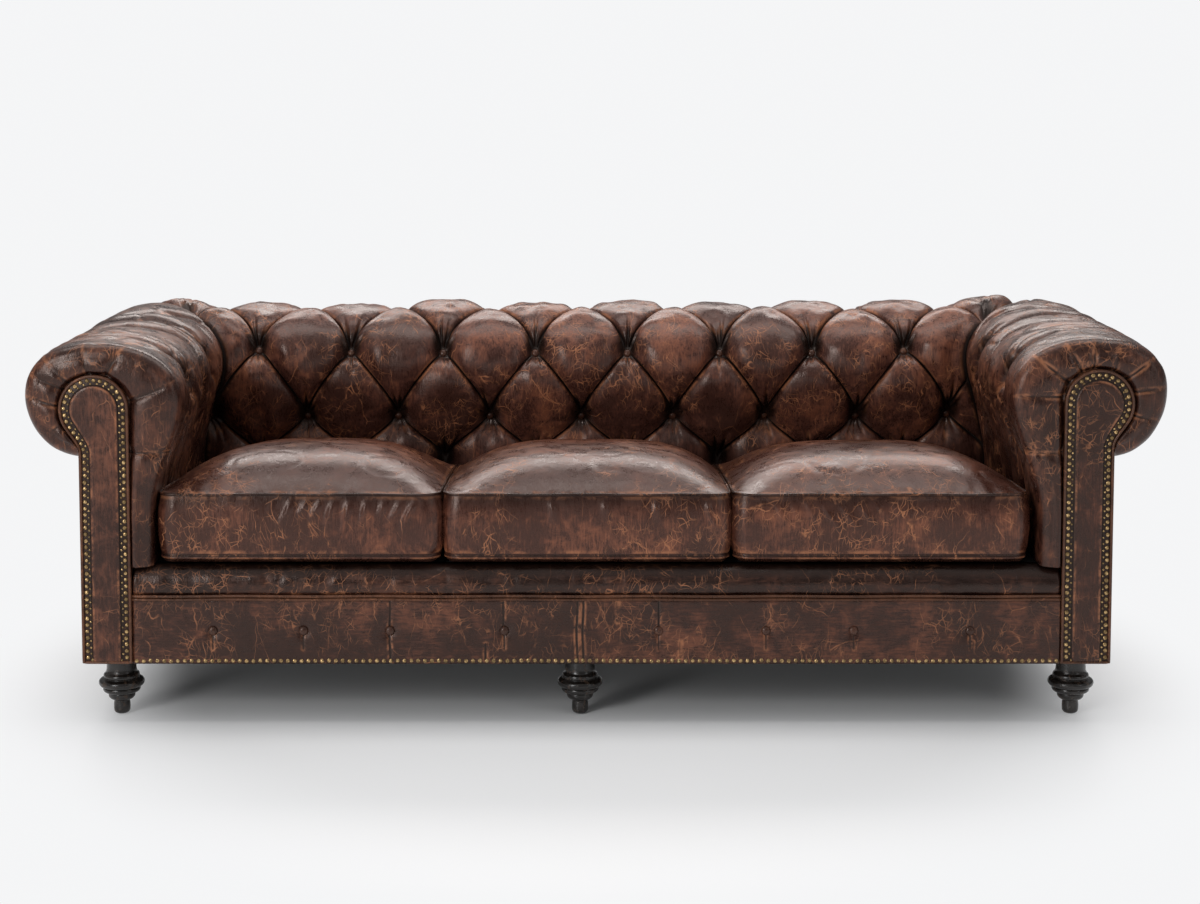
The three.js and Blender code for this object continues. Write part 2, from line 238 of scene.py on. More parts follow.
def grain_group():
    """The face of the hide, relief only: pebbles, soft wrinkles and fine streaks."""
    group, given, result = new_group(
        "Grain",
        [("Vector", "Vector"), ("Streak", "Float")],
        [("Height", "Float")],
    )
    cells = {"Vector": given["Vector"], "Scale": 330.0}
    pebble = add_node(group, "ShaderNodeTexVoronoi", cells).outputs["Distance"]
    drawn_out = stretched(group, given["Vector"], (1.0, 1.0, 0.4), (0.1, 0.15, 0.0))
    wrinkle = noise(group, drawn_out, 34.0, 3.0, 0.55)
    height = plus(group, times(group, pebble, -0.25), times(group, wrinkle, 2.0))
    height = plus(group, height, times(group, given["Streak"], 0.2))
    group.links.new(height, result["Height"])
    return group


# Dirt gathered in the wells, deepened as painted shade in the wells and hollows; and the blacker line along
# the bottom of a fold or a seam, which is painted shade in the folds.
GRIME_AND_SHADE = (0.006, 0.0028, 0.002, 1)
FOLD_SHADE_AND_SEAM = (0.003, 0.0016, 0.0012, 1)


def worn_leather_group(scratches, grain):
    """Colour, roughness and relief of old hide. Crease is the distance to the nearest crease in metres, and
    Rise is 0 deep between the pads and 1 on top of them. A low Rise and a small Crease darken the colour as
    painted shade; a high Rise rubs it lighter, as wear and in part as a painted highlight."""
    group, given, result = new_group(
        "Worn leather",
        [
            ("Vector", "Vector"), ("Streaks", "Vector"), ("Base", "Color"), ("Dark", "Color"),
            ("Rubbed", "Color"), ("Bare", "Color"), ("Crease", "Float"), ("Rise", "Float"),
            ("Scratched", "Float"), ("Rubbing", "Float"),
        ],
        [("Color", "Color"), ("Roughness", "Float"), ("Height", "Float")],
    )
    where = given["Vector"]
    blotch = noise(group, where, 4.5, 3.0, 0.6, 0.3)
    middle = noise(group, where, 22.0, 6.0, 0.68, 0.6)
    streak = noise(group, given["Streaks"], 1.0, 4.0, 0.62, 0.5)
    marks = use_group(group, scratches, {"Vector": where, "Density": given["Scratched"]})["Mask"]
    skin = use_group(group, grain, {"Vector": where, "Streak": streak})
    tone = plus(group, times(group, middle, 0.6), times(group, streak, 0.4))
    colour = mix_colour(group, ramp(group, blotch, 0.32, 0.66, 0.25, 1.0), given["Dark"], given["Base"])
    colour = mix_colour(group, ramp(group, tone, 0.34, 0.62, 0.2, 1.0), given["Dark"], colour)
    worn = plus(group, tone, times(group, blotch, 0.5))
    # Lighter on high places: rubbed wear, and in part a painted highlight on the lit tops.
    rub = times(group, ramp(group, given["Rise"], 0.3, 0.95), ramp(group, worn, 0.72, 0.96))
    rub = times(group, rub, given["Rubbing"], True)
    colour = mix_colour(group, rub, colour, given["Rubbed"])
    edge = times(
        group,
        ramp(group, given["Crease"], 0.0018, 0.0035),
        ramp(group, given["Crease"], 0.004, 0.0085, 1.0, 0.0),
    )
    edge = times(group, edge, ramp(group, middle, 0.44, 0.62, 0.0, 0.6))
    colour = mix_colour(group, edge, colour, given["Bare"])
    colour = mix_colour(group, marks, colour, given["Bare"])
    # Painted shade with some dirt: the colour darkens to near black where Rise is low, deep between the pads,
    # in the wells and wherever else a low rise is given.
    hollow = ramp(group, given["Rise"], 0.0, 0.6, 0.96, 0.0)
    colour = mix_colour(group, hollow, colour, GRIME_AND_SHADE)
    # Painted shade: a blacker line along the bottom of each crease and fold; along the border's seams it is
    # their own dark line.
    fold = ramp(group, given["Crease"], 0.0, 0.0032, 1.0, 0.0)
    colour = mix_colour(group, fold, colour, FOLD_SHADE_AND_SEAM)
    rough = plus(group, ramp(group, tone, 0.35, 0.62, 0.22, 0.40), times(group, marks, 0.2))
    rough = plus(group, rough, times(group, fold, 0.3), True)
    group.links.new(colour, result["Color"])
    group.links.new(rough, result["Roughness"])
    group.links.new(skin["Height"], result["Height"])
    return group


# ------------------------------------------------------------------ materials

def effects():
    """The shared node groups, made once."""
    if "Worn leather" not in bpy.data.node_groups:
        worn_leather_group(scratches_group(), grain_group())
    return bpy.data.node_groups


def tint(colour, factor):
    return (colour[0] * factor, colour[1] * factor, colour[2] * factor, 1)


# Scales of the fine streaks along X, Y and Z.
UPRIGHT = (260.0, 260.0, 34.0)
LEVEL = (36.0, 240.0, 240.0)


def leather(name, base, scratched=0.6, rubbing=0.6, relief=0.0012, contrast=1.0, streaks=UPRIGHT):
    """Old hide. contrast is that of its dark blotches, and streaks scales the fine streaks, which
    are long where the scale is small."""
    material, tree, surface = new_material(name)
    colours = bpy.context.scene.sofa_colours
    where = object_place(tree)
    inputs = {
        "Vector": where,
        "Streaks": stretched(tree, where, streaks, (0.05, 0.12, 0.0)),
        "Base": tint(base, 1.0),
        "Dark": tint(base, 1 - (1 - colours.dark_share) * contrast),
        "Rubbed": (*colours.rubbed_and_sheen, 1),
        "Bare": (*colours.bare, 1),
        "Crease": attribute(tree, "crease"),
        "Rise": attribute(tree, "rise"),
        "Scratched": scratched,
        "Rubbing": rubbing,
    }
    hide = use_group(tree, effects()["Worn leather"], inputs)
    tree.links.new(hide["Color"], surface.inputs["Base Color"])
    tree.links.new(hide["Roughness"], surface.inputs["Roughness"])
    surface.inputs["Specular IOR Level"].default_value = 0.48
    surface.inputs["Specular Tint"].default_value = (*colours.sheen, 1)
    bump(tree, hide["Height"], 0.6, relief, surface)
    return material


def plain_metal(name, colour, roughness, metallic=1.0):
    material, tree, surface = new_material(name)
    where = object_place(tree)
    grime = ramp(tree, noise(tree, where, 180.0, 3.0), 0.4, 0.65)
    colour_out = mix_colour(tree, grime, tint(colour, 0.35), tint(colour, 1.0))
    tree.links.new(colour_out, surface.inputs["Base Color"])
    tree.links.new(ramp(tree, grime, 0.0, 1.0, roughness + 0.25, roughness), surface.inputs["Roughness"])
    surface.inputs["Metallic"].default_value = metallic
    return material


def wood(name, light, dark, roughness):
    material, tree, surface = new_material(name)
    where = stretched(tree, object_place(tree), (14.0, 14.0, 90.0), (0.0, 1.57, 0.0))
    figure = ramp(tree, noise(tree, where, 1.0, 5.0, 0.6, 0.6), 0.35, 0.65)
    tree.links.new(mix_colour(tree, figure, dark, light), surface.inputs["Base Color"])
    surface.inputs["Roughness"].default_value = roughness
    bump(tree, figure, 0.2, 0.0006, surface)
    return material


def ebonised_wood():
    """Near-black stain, worn through to brown on the turnings."""
    material, tree, surface = new_material("ebonised_wood")
    where = object_place(tree)
    worn = ramp(tree, noise(tree, where, 70.0, 5.0, 0.65), 0.54, 0.66)
    dust = ramp(tree, noise(tree, where, 25.0, 3.0), 0.45, 0.65, 0.0, 0.35)
    colour = mix_colour(tree, worn, (0.008, 0.006, 0.005, 1), (0.045, 0.025, 0.015, 1))
    colour = mix_colour(tree, dust, colour, (0.06, 0.05, 0.045, 1))
    tree.links.new(colour, surface.inputs["Base Color"])
    tree.links.new(ramp(tree, worn, 0.0, 1.0, 0.25, 0.5), surface.inputs["Roughness"])
    bump(tree, worn, 0.3, 0.0006, surface)
    return material


def woven(name, colour, pitch):
    """A coarse cloth of two crossed sets of threads."""
    material, tree, surface = new_material(name)
    where = object_place(tree)
    inputs = {"Vector": where, "Scale": pitch}
    warp = add_node(tree, "ShaderNodeTexWave", inputs, bands_direction="X").outputs["Fac"]
    weft = add_node(tree, "ShaderNodeTexWave", inputs, bands_direction="Z").outputs["Fac"]
    weave = times(tree, warp, weft)
    threads = mix_colour(tree, weave, tint(colour, 0.4), tint(colour, 1.0))
    tree.links.new(threads, surface.inputs["Base Color"])
    surface.inputs["Roughness"].default_value = 0.95
    bump(tree, weave, 0.4, 0.0008, surface)
    return material


MATERIALS = {}


def material_for(key):
    """Each material is made the first time it is asked for."""
    if key not in MATERIALS:
        colours = bpy.context.scene.sofa_colours
        recipes = {
            "inside": lambda: leather("inside_leather", colours.inside, 0.95, 0.85),
            "arm": lambda: leather("arm_leather", colours.arm, 0.65, 0.45),
            "cushion": lambda: leather("cushion_leather", colours.cushion, 0.85, 0.9, contrast=0.78),
            "border": lambda: leather("border_leather", colours.border, 0.6, 0.6, streaks=LEVEL),
            # The lip's hide is the border's at half its brightness: painted shade under the cushions.
            "lip": lambda: leather("lip_leather", tint(colours.border, 0.5)[:3], 0.7, 0.5, streaks=LEVEL),
            "facing": lambda: leather("facing_leather", colours.facing, 0.6, 0.5),
            "piping": lambda: leather("piping_leather", colours.piping, 0.5, 0.3, 0.0005),
            # The cushions' piping is their hide at 0.4 of its brightness: painted shade for the dark line
            # along the seams.
            "cushion_piping": lambda: leather(
                "cushion_piping_leather", tint(colours.cushion, 0.4)[:3], 0.9, 0.3, 0.0005
            ),
            "button": lambda: leather("button_leather", colours.button, 0.3, 0.8, 0.0004),
            "brass": lambda: plain_metal("antique_brass", (0.62, 0.42, 0.20), 0.3),
            "ebonised": ebonised_wood,
            "beech": lambda: wood("beech", (0.42, 0.27, 0.15, 1), (0.3, 0.18, 0.09, 1), 0.65),
            "steel": lambda: plain_metal("spring_steel", (0.3, 0.31, 0.33), 0.4),
            "zinc": lambda: plain_metal("zinc_steel", (0.55, 0.55, 0.52), 0.35),
            "jute": lambda: woven("jute", (0.4, 0.29, 0.16), 120.0),
            "black_cloth": lambda: woven("black_cloth", (0.015, 0.015, 0.016), 200.0),
        }
        MATERIALS[key] = recipes[key]()
    return MATERIALS[key]


# ------------------------------------------------------------------ mesh helpers

FAR = 1.0  # metres: a distance to the nearest crease that leaves no mark


def value_noise(points, scale, seed=0):
    """Smooth random values from -1 to 1 at points, an array ending in 3."""
    place = np.asarray(points) * scale + seed * 7.31
    cell = np.floor(place).astype(np.int64)
    part = place - cell
    part = part * part * (3 - 2 * part)
    total = 0.0
    for corner in range(8):
        offset = np.array([corner & 1, (corner >> 1) & 1, (corner >> 2) & 1])
        key = cell + offset
        mixed = key[..., 0] * 374761393 + key[..., 1] * 668265263 + key[..., 2] * 982451653 + seed * 69069
        mixed = (mixed ^ (mixed >> 13)) * 1274126177
        chance = ((mixed ^ (mixed >> 16)) & 0xFFFF) / 0x7FFF - 1.0
        weight = np.prod(np.where(offset == 1, part, 1 - part), axis=-1)
        total = total + chance * weight
    return total


def smooth_step(value, low, high):
    part = np.clip((value - low) / (high - low), 0, 1)
    return part * part * (3 - 2 * part)


def puff(distance, reach):
    """0 in a crease, rising round like a stuffed pad to 1 at reach."""
    return np.sqrt(1 - (1 - np.clip(distance / reach, 0, 1)) ** 2)


def clustered(count, pull=0.6):
    """0 to 1, with the steps closer together at both ends."""
    even = np.linspace(0, 1, count)
    return (1 - pull) * even + pull * (0.5 - 0.5 * np.cos(math.pi * even))


def cap_open_edges(mesh, is_end):
    """Closes each chain or loop of open edges whose points all pass is_end with one flat face."""
    beside = {}
    for edge in mesh.edges:
        if len(edge.link_faces) == 1 and all(is_end(vert.co) for vert in edge.verts):
            first, second = edge.verts
            beside.setdefault(first, []).append(second)
            beside.setdefault(second, []).append(first)
    while beside:
        start = next((vert for vert, others in beside.items() if len(others) == 1), next(iter(beside)))
        chain = []
        onward = start
        while onward is not None:
            chain.append(onward)
            others = beside.pop(onward)
            onward = next((vert for vert in others if vert in beside), None)
        if len(chain) > 2:
            mesh.faces.new(chain)


class Shell:
    """Collects grids of points and caps, and makes one closed mesh of them."""

    def __init__(self):
        self.points = []
        self.crease = []
        self.rise = []
        self.faces = []
        self.count = 0

    def grid(self, points, crease=FAR, rise=0.5, loop=False):
        rows, columns = points.shape[:2]
        index = self.count + np.arange(rows * columns).reshape(rows, columns)
        ring = np.concatenate([index, index[:, :1]], axis=1) if loop else index
        quads = np.stack([ring[:-1, :-1], ring[:-1, 1:], ring[1:, 1:], ring[1:, :-1]], axis=-1)
        self.faces.extend(quads.reshape(-1, 4).tolist())
        self.points.append(points.reshape(-1, 3))
        self.crease.append(np.broadcast_to(crease, (rows, columns)).reshape(-1))
        self.rise.append(np.broadcast_to(rise, (rows, columns)).reshape(-1))
        self.count += rows * columns
        return index

    def face(self, indices):
        self.faces.append([int(one) for one in indices])

    def place(self, index):
        return np.concatenate(self.points)[index]

    def make(self, name, *materials, merge=2e-5, smooth=True, ends=()):
        mesh = bpy.data.meshes.new(name)
        mesh.from_pydata(np.concatenate(self.points).tolist(), [], self.faces)
        for label, values in (("crease", self.crease), ("rise", self.rise)):
            layer = mesh.attributes.new(label, "FLOAT", "POINT")
            layer.data.foreach_set("value", np.concatenate(values).astype(np.float32))
        tidy = bmesh.new()
        tidy.from_mesh(mesh)
        bmesh.ops.remove_doubles(tidy, verts=tidy.verts, dist=merge)
        for is_end in (*ends, lambda place: True):
            cap_open_edges(tidy, is_end)
        bmesh.ops.recalc_face_normals(tidy, faces=tidy.faces)
        tidy.to_mesh(mesh)
        tidy.free()
        mesh.polygons.foreach_set("use_smooth", [smooth] * len(mesh.polygons))
        for material in materials:
            mesh.materials.append(material)
        piece = bpy.data.objects.new(name, mesh)
        bpy.context.scene.collection.objects.link(piece)
        return piece


def ring_of(index):
    """The outline of a grid of points, in order."""
    return np.array(list(index[0]) + list(index[1:, -1]) + list(index[-1, -2::-1]) + list(index[-2:0:-1, 0]))


def join_rings(shell, first, second):
    """A strip of faces between two outlines of as many points."""
    for i in range(len(first)):
        j = (i + 1) % len(first)
        shell.face((first[i], first[j], second[j], second[i]))


def fix(piece, slot, *nodes, fill=None):
    """Fixes a finished piece to the frame and hides the CAD nodes it stands for; its finish, slot, is not
    used.
    """
    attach(piece, "root")
    if nodes:
        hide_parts(*nodes)
    return piece


def tube(shell, path, radius, sides=10, closed=False):
    """A round cord along a path of points, with its ends closed."""
    path = np.asarray(path, float)
    if closed:
        ahead = np.roll(path, -1, axis=0) - np.roll(path, 1, axis=0)
    else:
        ahead = np.gradient(path, axis=0)
    ahead /= np.linalg.norm(ahead, axis=1)[:, None]
    side = np.cross(ahead[0], (0.0, 0.0, 1.0))
    if np.linalg.norm(side) < 0.1:
        side = np.cross(ahead[0], (0.0, 1.0, 0.0))
    rings = []
    radius = np.broadcast_to(radius, len(path))
    for centre, direction, reach in zip(path, ahead, radius):
        side = side - direction * side.dot(direction)
        side /= np.linalg.norm(side)
        other = np.cross(direction, side)
        turn = np.linspace(0, 2 * math.pi, sides, endpoint=False)
        rings.append(centre + reach * (np.outer(np.cos(turn), side) + np.outer(np.sin(turn), other)))
    rings = np.array(rings)
    if closed:
        rings = np.concatenate([rings, rings[:1]])
    index = shell.grid(rings, loop=True)
    if not closed:
        shell.face(index[0])
        shell.face(index[-1][::-1])


def dome(shell, centre, outward, radius, height, rings=4, sides=12, skirt=0.001):
    """A domed nail head or button, its flat base a little below centre."""
    outward = np.asarray(outward, float)
    outward /= np.linalg.norm(outward)
    side = np.cross(outward, (0.3, 0.2, 0.9))
    side /= np.linalg.norm(side)
    other = np.cross(outward, side)
    turn = np.linspace(0, 2 * math.pi, sides, endpoint=False)
    circle = np.outer(np.cos(turn), side) + np.outer(np.sin(turn), other)
    levels = [(radius * 0.96, -skirt)]
    for step in range(rings):
        lean = math.pi / 2 * step / rings
        levels.append((radius * math.cos(lean), height * math.sin(lean)))
    layers = np.array([np.asarray(centre) + reach * circle + up * outward for reach, up in levels])
    index = shell.grid(layers, loop=True)
    shell.face(index[0])
    shell.face(index[-1][::-1])


# ------------------------------------------------------------------ the roll's section

def bezier(start, first, second, end, count=40):
    t = np.linspace(0, 1, count)[:, None]
    start, first, second, end = (np.array(point, float) for point in (start, first, second, end))
    return (1 - t) ** 3 * start + 3 * (1 - t) ** 2 * t * first + 3 * (1 - t) * t * t * second + t ** 3 * end


BULGE_Z = HEAD_Z + 0.014  # height of the fullest point of the inside face
WIDE_Z = HEAD_Z + 0.024  # and of the outer roll
KNEE_Z = SEAT_Z + 0.094  # where the inside face starts to lean


def hook_outline():
    """Inside face, bulge, crest, outer roll and neck, as (out from the middle, height)."""
    knee = (INSIDE_X, KNEE_Z)
    crest = (1.0, CREST_Z)
    edge = (HALF_WIDTH, WIDE_Z)
    runs = (
        np.linspace((INSIDE_X, SEAT_Z + 0.001), knee, 12),
        bezier(knee, (INSIDE_X, SEAT_Z + 0.194), (BULGE_X, BULGE_Z - 0.08), (BULGE_X, BULGE_Z)),
        bezier((BULGE_X, BULGE_Z), (BULGE_X, CREST_Z - 0.04), (0.905, CREST_Z), crest),
        bezier(crest, (1.085, CREST_Z), (HALF_WIDTH, CREST_Z - 0.033), edge),
        bezier(edge, (HALF_WIDTH, WIDE_Z - 0.06), (1.098, NECK_Z + 0.01), (OUTSIDE_X + 0.003, NECK_Z)),
    )
    return np.concatenate([runs[0]] + [run[1:] for run in runs[1:]])


class Section:
    """The roll's outline by the distance run along it from the seat."""

    def __init__(self):
        self.outline = hook_outline()
        steps = np.linalg.norm(np.diff(self.outline, axis=0), axis=1)
        self.run = np.concatenate([[0], np.cumsum(steps)])
        self.length = self.run[-1]
        self.top = self.run[self.outline[:, 1].argmax()]

    def at(self, s):
        return np.interp(s, self.run, self.outline[:, 0]), np.interp(s, self.run, self.outline[:, 1])

    def normal(self, s):
        step = 0.004
        out0, up0 = self.at(np.clip(s - step, 0, self.length))
        out1, up1 = self.at(np.clip(s + step, 0, self.length))
        size = np.hypot(out1 - out0, up1 - up0)
        return -(up1 - up0) / size, (out1 - out0) / size

    def lifted(self, s):
        """The share of the arm's or the back's lift that a place on the section takes."""
        up = self.at(s)[1]
        inside = smooth_step(up, KNEE_Z, BULGE_Z)
        outside = smooth_step(up, NECK_Z, WIDE_Z)
        return np.where(s < self.top, inside, outside)

    def at_height(self, up):
        """The distance along the inside face to this height."""
        inside = self.run <= self.top
        return float(np.interp(up, self.outline[inside, 1], self.run[inside]))

    def at_reach(self, out):
        """The distance along to this far out, past the crest."""
        past = (self.run >= self.top) & (self.outline[:, 1] > WIDE_Z)
        return float(np.interp(out, self.outline[past, 0], self.run[past]))


SECTION = Section()


def roll_surface(part, s, lateral, height):
    """Points of the padded roll. Part is "back", or -1 or 1 for the left or right arm. Lateral
    runs along the roll: X for the back, and Y plus the back's shift for the arms."""
    level, up = SECTION.at(s)
    lean_out, lean_up = SECTION.normal(s)
    side = np.where(lateral < 0, -1, 1) if part == "back" else part
    reach = np.minimum(np.abs(lateral), level) if part == "back" else np.minimum(lateral, level)
    radius = 0.03 + 0.75 * np.maximum(0, level - 0.9)
    short = np.clip((level - reach) / radius, 0, 1)
    angle = (1 - short) * math.pi / 4
    along = np.where(short < 1, level - radius + radius * np.sin(angle), reach)
    out = level - radius + radius * np.cos(angle)
    along = along + lean_out * np.sin(angle) * height
    out = out + lean_out * np.cos(angle) * height
    if part == "back":
        arm_lift = np.where(lateral < 0, ARM_LIFT[-1], ARM_LIFT[1])
        lift = arm_lift + (BACK_LIFT - arm_lift) * smooth_step(level - reach, 0.0, 0.2)
    else:
        lift = ARM_LIFT[part]
    up = up + lift * SECTION.lifted(s) + lean_up * height
    if part == "back":
        return np.stack([side * along, out - BACK_SHIFT, up], axis=-1)
    return np.stack([side * out, along - BACK_SHIFT, up], axis=-1)


# ------------------------------------------------------------------ buttoned inside back

class SOFA_PG_buttoning(PropertyGroup):
    pitch: length_setting("Pitch", "Between buttons in a row", 0.2088)
    centre: length_setting("Centre", "X of the middle button", -0.030)
    upper: length_setting("Upper row", "Height of the row under the roll", 0.684)
    middle: length_setting("Middle row", "Height of the middle row", 0.505)
    lower: length_setting("Lower row", "Height of the row behind the cushions", 0.405)
    behind: length_setting("Crest row", "How far out the row behind the crest lies", 1.045)
    depth: length_setting("Crease depth", "Of the folds between the pads", 0.014)
    crown: length_setting("Crown", "Height of the pads over the section", 0.0088)
    well: length_setting("Well", "Depth of the buttons' wells", 0.034)
    gather: length_setting("Gathers", "Depth of the folds at a button", 0.0085)
    reach: length_setting("Roundness", "Width over which a pad rises", 0.062)
    button: length_setting("Button", "Radius of the buttons", 0.0088)


def crease_line(nodes, s):
    """Where a crease through nodes of (s, lateral), highest first, runs at each s. It leaves a
    button sideways and drops onto the next one; over the crest it opens like a tulip."""
    result = np.full(np.shape(s), float(nodes[0][1]))
    for (high, start), (low, end) in zip(nodes, nodes[1:]):
        fall = np.clip((high - s) / (high - low), 0, 1)
        over_crest = low < SECTION.top < high
        dropping = 0.85 * np.sin(fall * math.pi / 2) + 0.15 * fall
        opening = 0.3 * (1 - fall) + 0.7 * smooth_step(1 - fall, 0, 1)
        share = 1 - opening if over_crest else dropping
        result = np.where(s <= high, start + (end - start) * share, result)
    return result


# The folds above and below a button, each as its lean from upright and its length.
FAN = ((-0.55, 0.064), (-0.27, 0.092), (-0.07, 0.112), (0.13, 0.106), (0.33, 0.090), (0.58, 0.062))
FAN_BELOW = ((-0.5, 0.048), (0.02, 0.062), (0.5, 0.050))
WELL_FLOOR = 0.036  # no well goes deeper, so that the hide stays over its hessian


def gathers(sideways, above, seed=0):
    """Folds that fan out over a button, and shorter ones below it: depth from 0 to 1, and the
    distance to the nearest fold."""
    away = np.hypot(sideways, above) + 1e-6
    depth = np.zeros(away.shape)
    nearest = np.full(away.shape, FAR)
    for fan, way, strength in ((FAN, 1, 1.0), (FAN_BELOW, -1, 0.6)):
        angle = np.arctan2(sideways, way * above)
        for number, (lean, length) in enumerate(fan):
            chance = math.sin(seed * 12.9 + number * 78.2 + way)
            turn = angle - lean - 0.1 * chance
            behind = np.where(np.abs(turn) > 1.5, FAR, 0.0)
            gap = away * np.abs(np.sin(np.clip(turn, -1.5, 1.5))) + behind
            reach = length * (1 + 0.25 * math.sin(seed * 5.3 + number * 3.1))
            along = smooth_step(away, 0.008, 0.02) * (1 - smooth_step(away, 0.45 * reach, reach))
            width = 0.0026 + 0.022 * away
            depth = np.maximum(depth, strength * along * np.exp(-((gap / width) ** 2)))
            depth = depth - 0.35 * strength * along * np.exp(-(((gap - 2.1 * width) / width) ** 2))
            beyond = np.where(along > 0.02, 0.0, FAR)
            nearest = np.minimum(nearest, gap + 0.0008 + 0.012 * (1 - along) + beyond)
    return depth, nearest


def pad_height(settings, lateral, s, left, right, edge, nodes, points, swell):
    """Height over the section, distance to the nearest crease, and the pad's rise, which is painted shade:
    darker near its creases, in the wells and along the gathers.
    """
    depth = settings.depth
    left_d = (lateral - left[0]) * left[1]
    right_d = (right[0] - lateral) * right[1]
    nearest = np.minimum(np.minimum(left_d, right_d), edge)
    rise = puff(left_d, settings.reach) * puff(right_d, settings.reach) * puff(edge, 0.05)
    top = settings.crown * (1 + swell)
    height = -depth + (depth + top) * rise ** 0.85
    height = height - 0.004 * np.exp(-((nearest / 0.0028) ** 2))
    slack = 0.0026 * value_noise(points * (1, 1, 0.55), 15.0, 3)
    slack = slack + 0.0034 * value_noise(points * (1, 1, 0.3), 38.0, 5)
    height = height + slack * smooth_step(nearest, 0.0, 0.03)
    # Painted shade near the creases, deepened further down in the wells and along the gathers.
    shade = puff(left_d, 0.024) * puff(right_d, 0.024) * puff(edge, 0.04)
    folds = np.full(nearest.shape, FAR)
    for node_s, node_lateral in nodes:
        sideways, above = lateral - node_lateral, s - node_s
        away = np.hypot(sideways, above)
        if away.min() > 0.12:
            continue
        height = height - settings.well * np.exp(-((np.maximum(away - 0.008, 0) / 0.024) ** 1.2))
        fold, line = gathers(sideways, above, node_s + 9.7 * node_lateral)
        height = height - settings.gather * fold * smooth_step(nearest, 0.0, 0.003)
        shade = shade * well_shade(sideways, above) * (1 - 0.85 * np.clip(fold, 0, 1))
        folds = np.minimum(folds, line)
    return np.maximum(height, -WELL_FLOOR), np.minimum(nearest, folds), shade


def well_shade(sideways, above):
    """0 in the painted shade of a button's well, which reaches further up than down, and 1 outside it."""
    return smooth_step(np.hypot(sideways / 0.66, above - 0.018), 0.014, 0.068)


def crease_slope(nodes, s):
    """What turns a sideways distance to a leaning crease into the distance square to it."""
    step = 0.016
    lean = (crease_line(nodes, s + step) - crease_line(nodes, s - step)) / (2 * step)
    return 1 / np.sqrt(1 + np.clip(lean, -3, 3) ** 2)


# The columns of points across a pad, as shares of its width: close together at both creases.
HALF_COLUMNS = np.array([
    0, 0.008, 0.02, 0.036, 0.056, 0.08, 0.11, 0.14, 0.175, 0.21, 0.25, 0.29, 0.33, 0.37, 0.41, 0.455, 0.5,
])
COLUMNS = np.concatenate([HALF_COLUMNS, 1 - HALF_COLUMNS[-2::-1]])


def back_rows(settings):
    """Distances along the section of the seat, the four rows of buttons and the neck."""
    return (
        0.0,
        SECTION.at_height(settings.lower),
        SECTION.at_height(settings.middle),
        SECTION.at_height(settings.upper),
        SECTION.at_reach(settings.behind),
        SECTION.length,
    )


def row_places(settings, odd):
    """X of the buttons in a row, past both ends too."""
    shift = 0.5 if odd else 0.0
    return {i: settings.centre + settings.pitch * (i + shift) for i in range(-6, 7)}


def pad_outlines(settings):
    """The left and right crease of every pad of the back, each as nodes of (s, X)."""
    seat, lower, middle, upper, behind, neck = back_rows(settings)
    even, odd = row_places(settings, False), row_places(settings, True)
    pads = []
    for j in range(-6, 6):
        a, b, c = even[j], odd[j], even[j + 1]
        pads.append(([(neck, a), (behind, a), (upper, b)], [(neck, c), (behind, c), (upper, b)]))
        pads.append(([(upper, b), (middle, a), (lower, b)], [(upper, b), (middle, c), (lower, b)]))
    for i in range(-5, 6):
        a, b, c = odd[i - 1], even[i], odd[i]
        pads.append(([(behind, b), (upper, a), (middle, b)], [(behind, b), (upper, c), (middle, b)]))
        pads.append(([(middle, b), (lower, a), (seat, a)], [(middle, b), (lower, c), (seat, c)]))
    return pads


# The button in each corner: its side, and how far out it lies.
CORNER_BUTTONS = ((-1, 0.962), (1, 0.907))


def back_nodes(settings):
    """The buttons as (s, X), with the two in the corners on the mitre."""
    lower, middle, upper, behind = back_rows(settings)[1:5]
    nodes = []
    for s, odd in ((lower, True), (middle, False), (upper, True), (behind, False)):
        for x in row_places(settings, odd).values():
            if abs(x) < SECTION.at(s)[0] - 0.004 or (s == middle and abs(x) < 0.87):
                nodes.append((s, x))
    past_bulge = (SECTION.run <= SECTION.top) & (SECTION.outline[:, 1] > BULGE_Z)
    for side, out in CORNER_BUTTONS:
        s = np.interp(out, SECTION.outline[past_bulge, 0], SECTION.run[past_bulge])
        nodes.append((float(s), side * out))
    return nodes


def band_samples(settings, top, bottom):
    """Rows of points between two heights that hold every row of buttons between them."""
    levels = [one for one in back_rows(settings) if bottom <= one <= top]
    samples = []
    for low, high in zip(levels, levels[1:]):
        count = max(8, round((high - low) / 0.0074))
        samples.extend(low + (high - low) * clustered(count)[:-1])
    return np.array(samples + [levels[-1]])


def neck_fade(s):
    """The padding flattens out where it is tacked: at the neck and at the seat."""
    return smooth_step(SECTION.length - s, 0.0, 0.06) * smooth_step(s, 0.0, 0.03)


def at_mitre(side):
    """A test for the points in the upright plane where an arm meets the back."""
    return lambda place: abs(side * place.x - place.y - BACK_SHIFT) < 2e-4


MITRES = (at_mitre(-1), at_mitre(1))


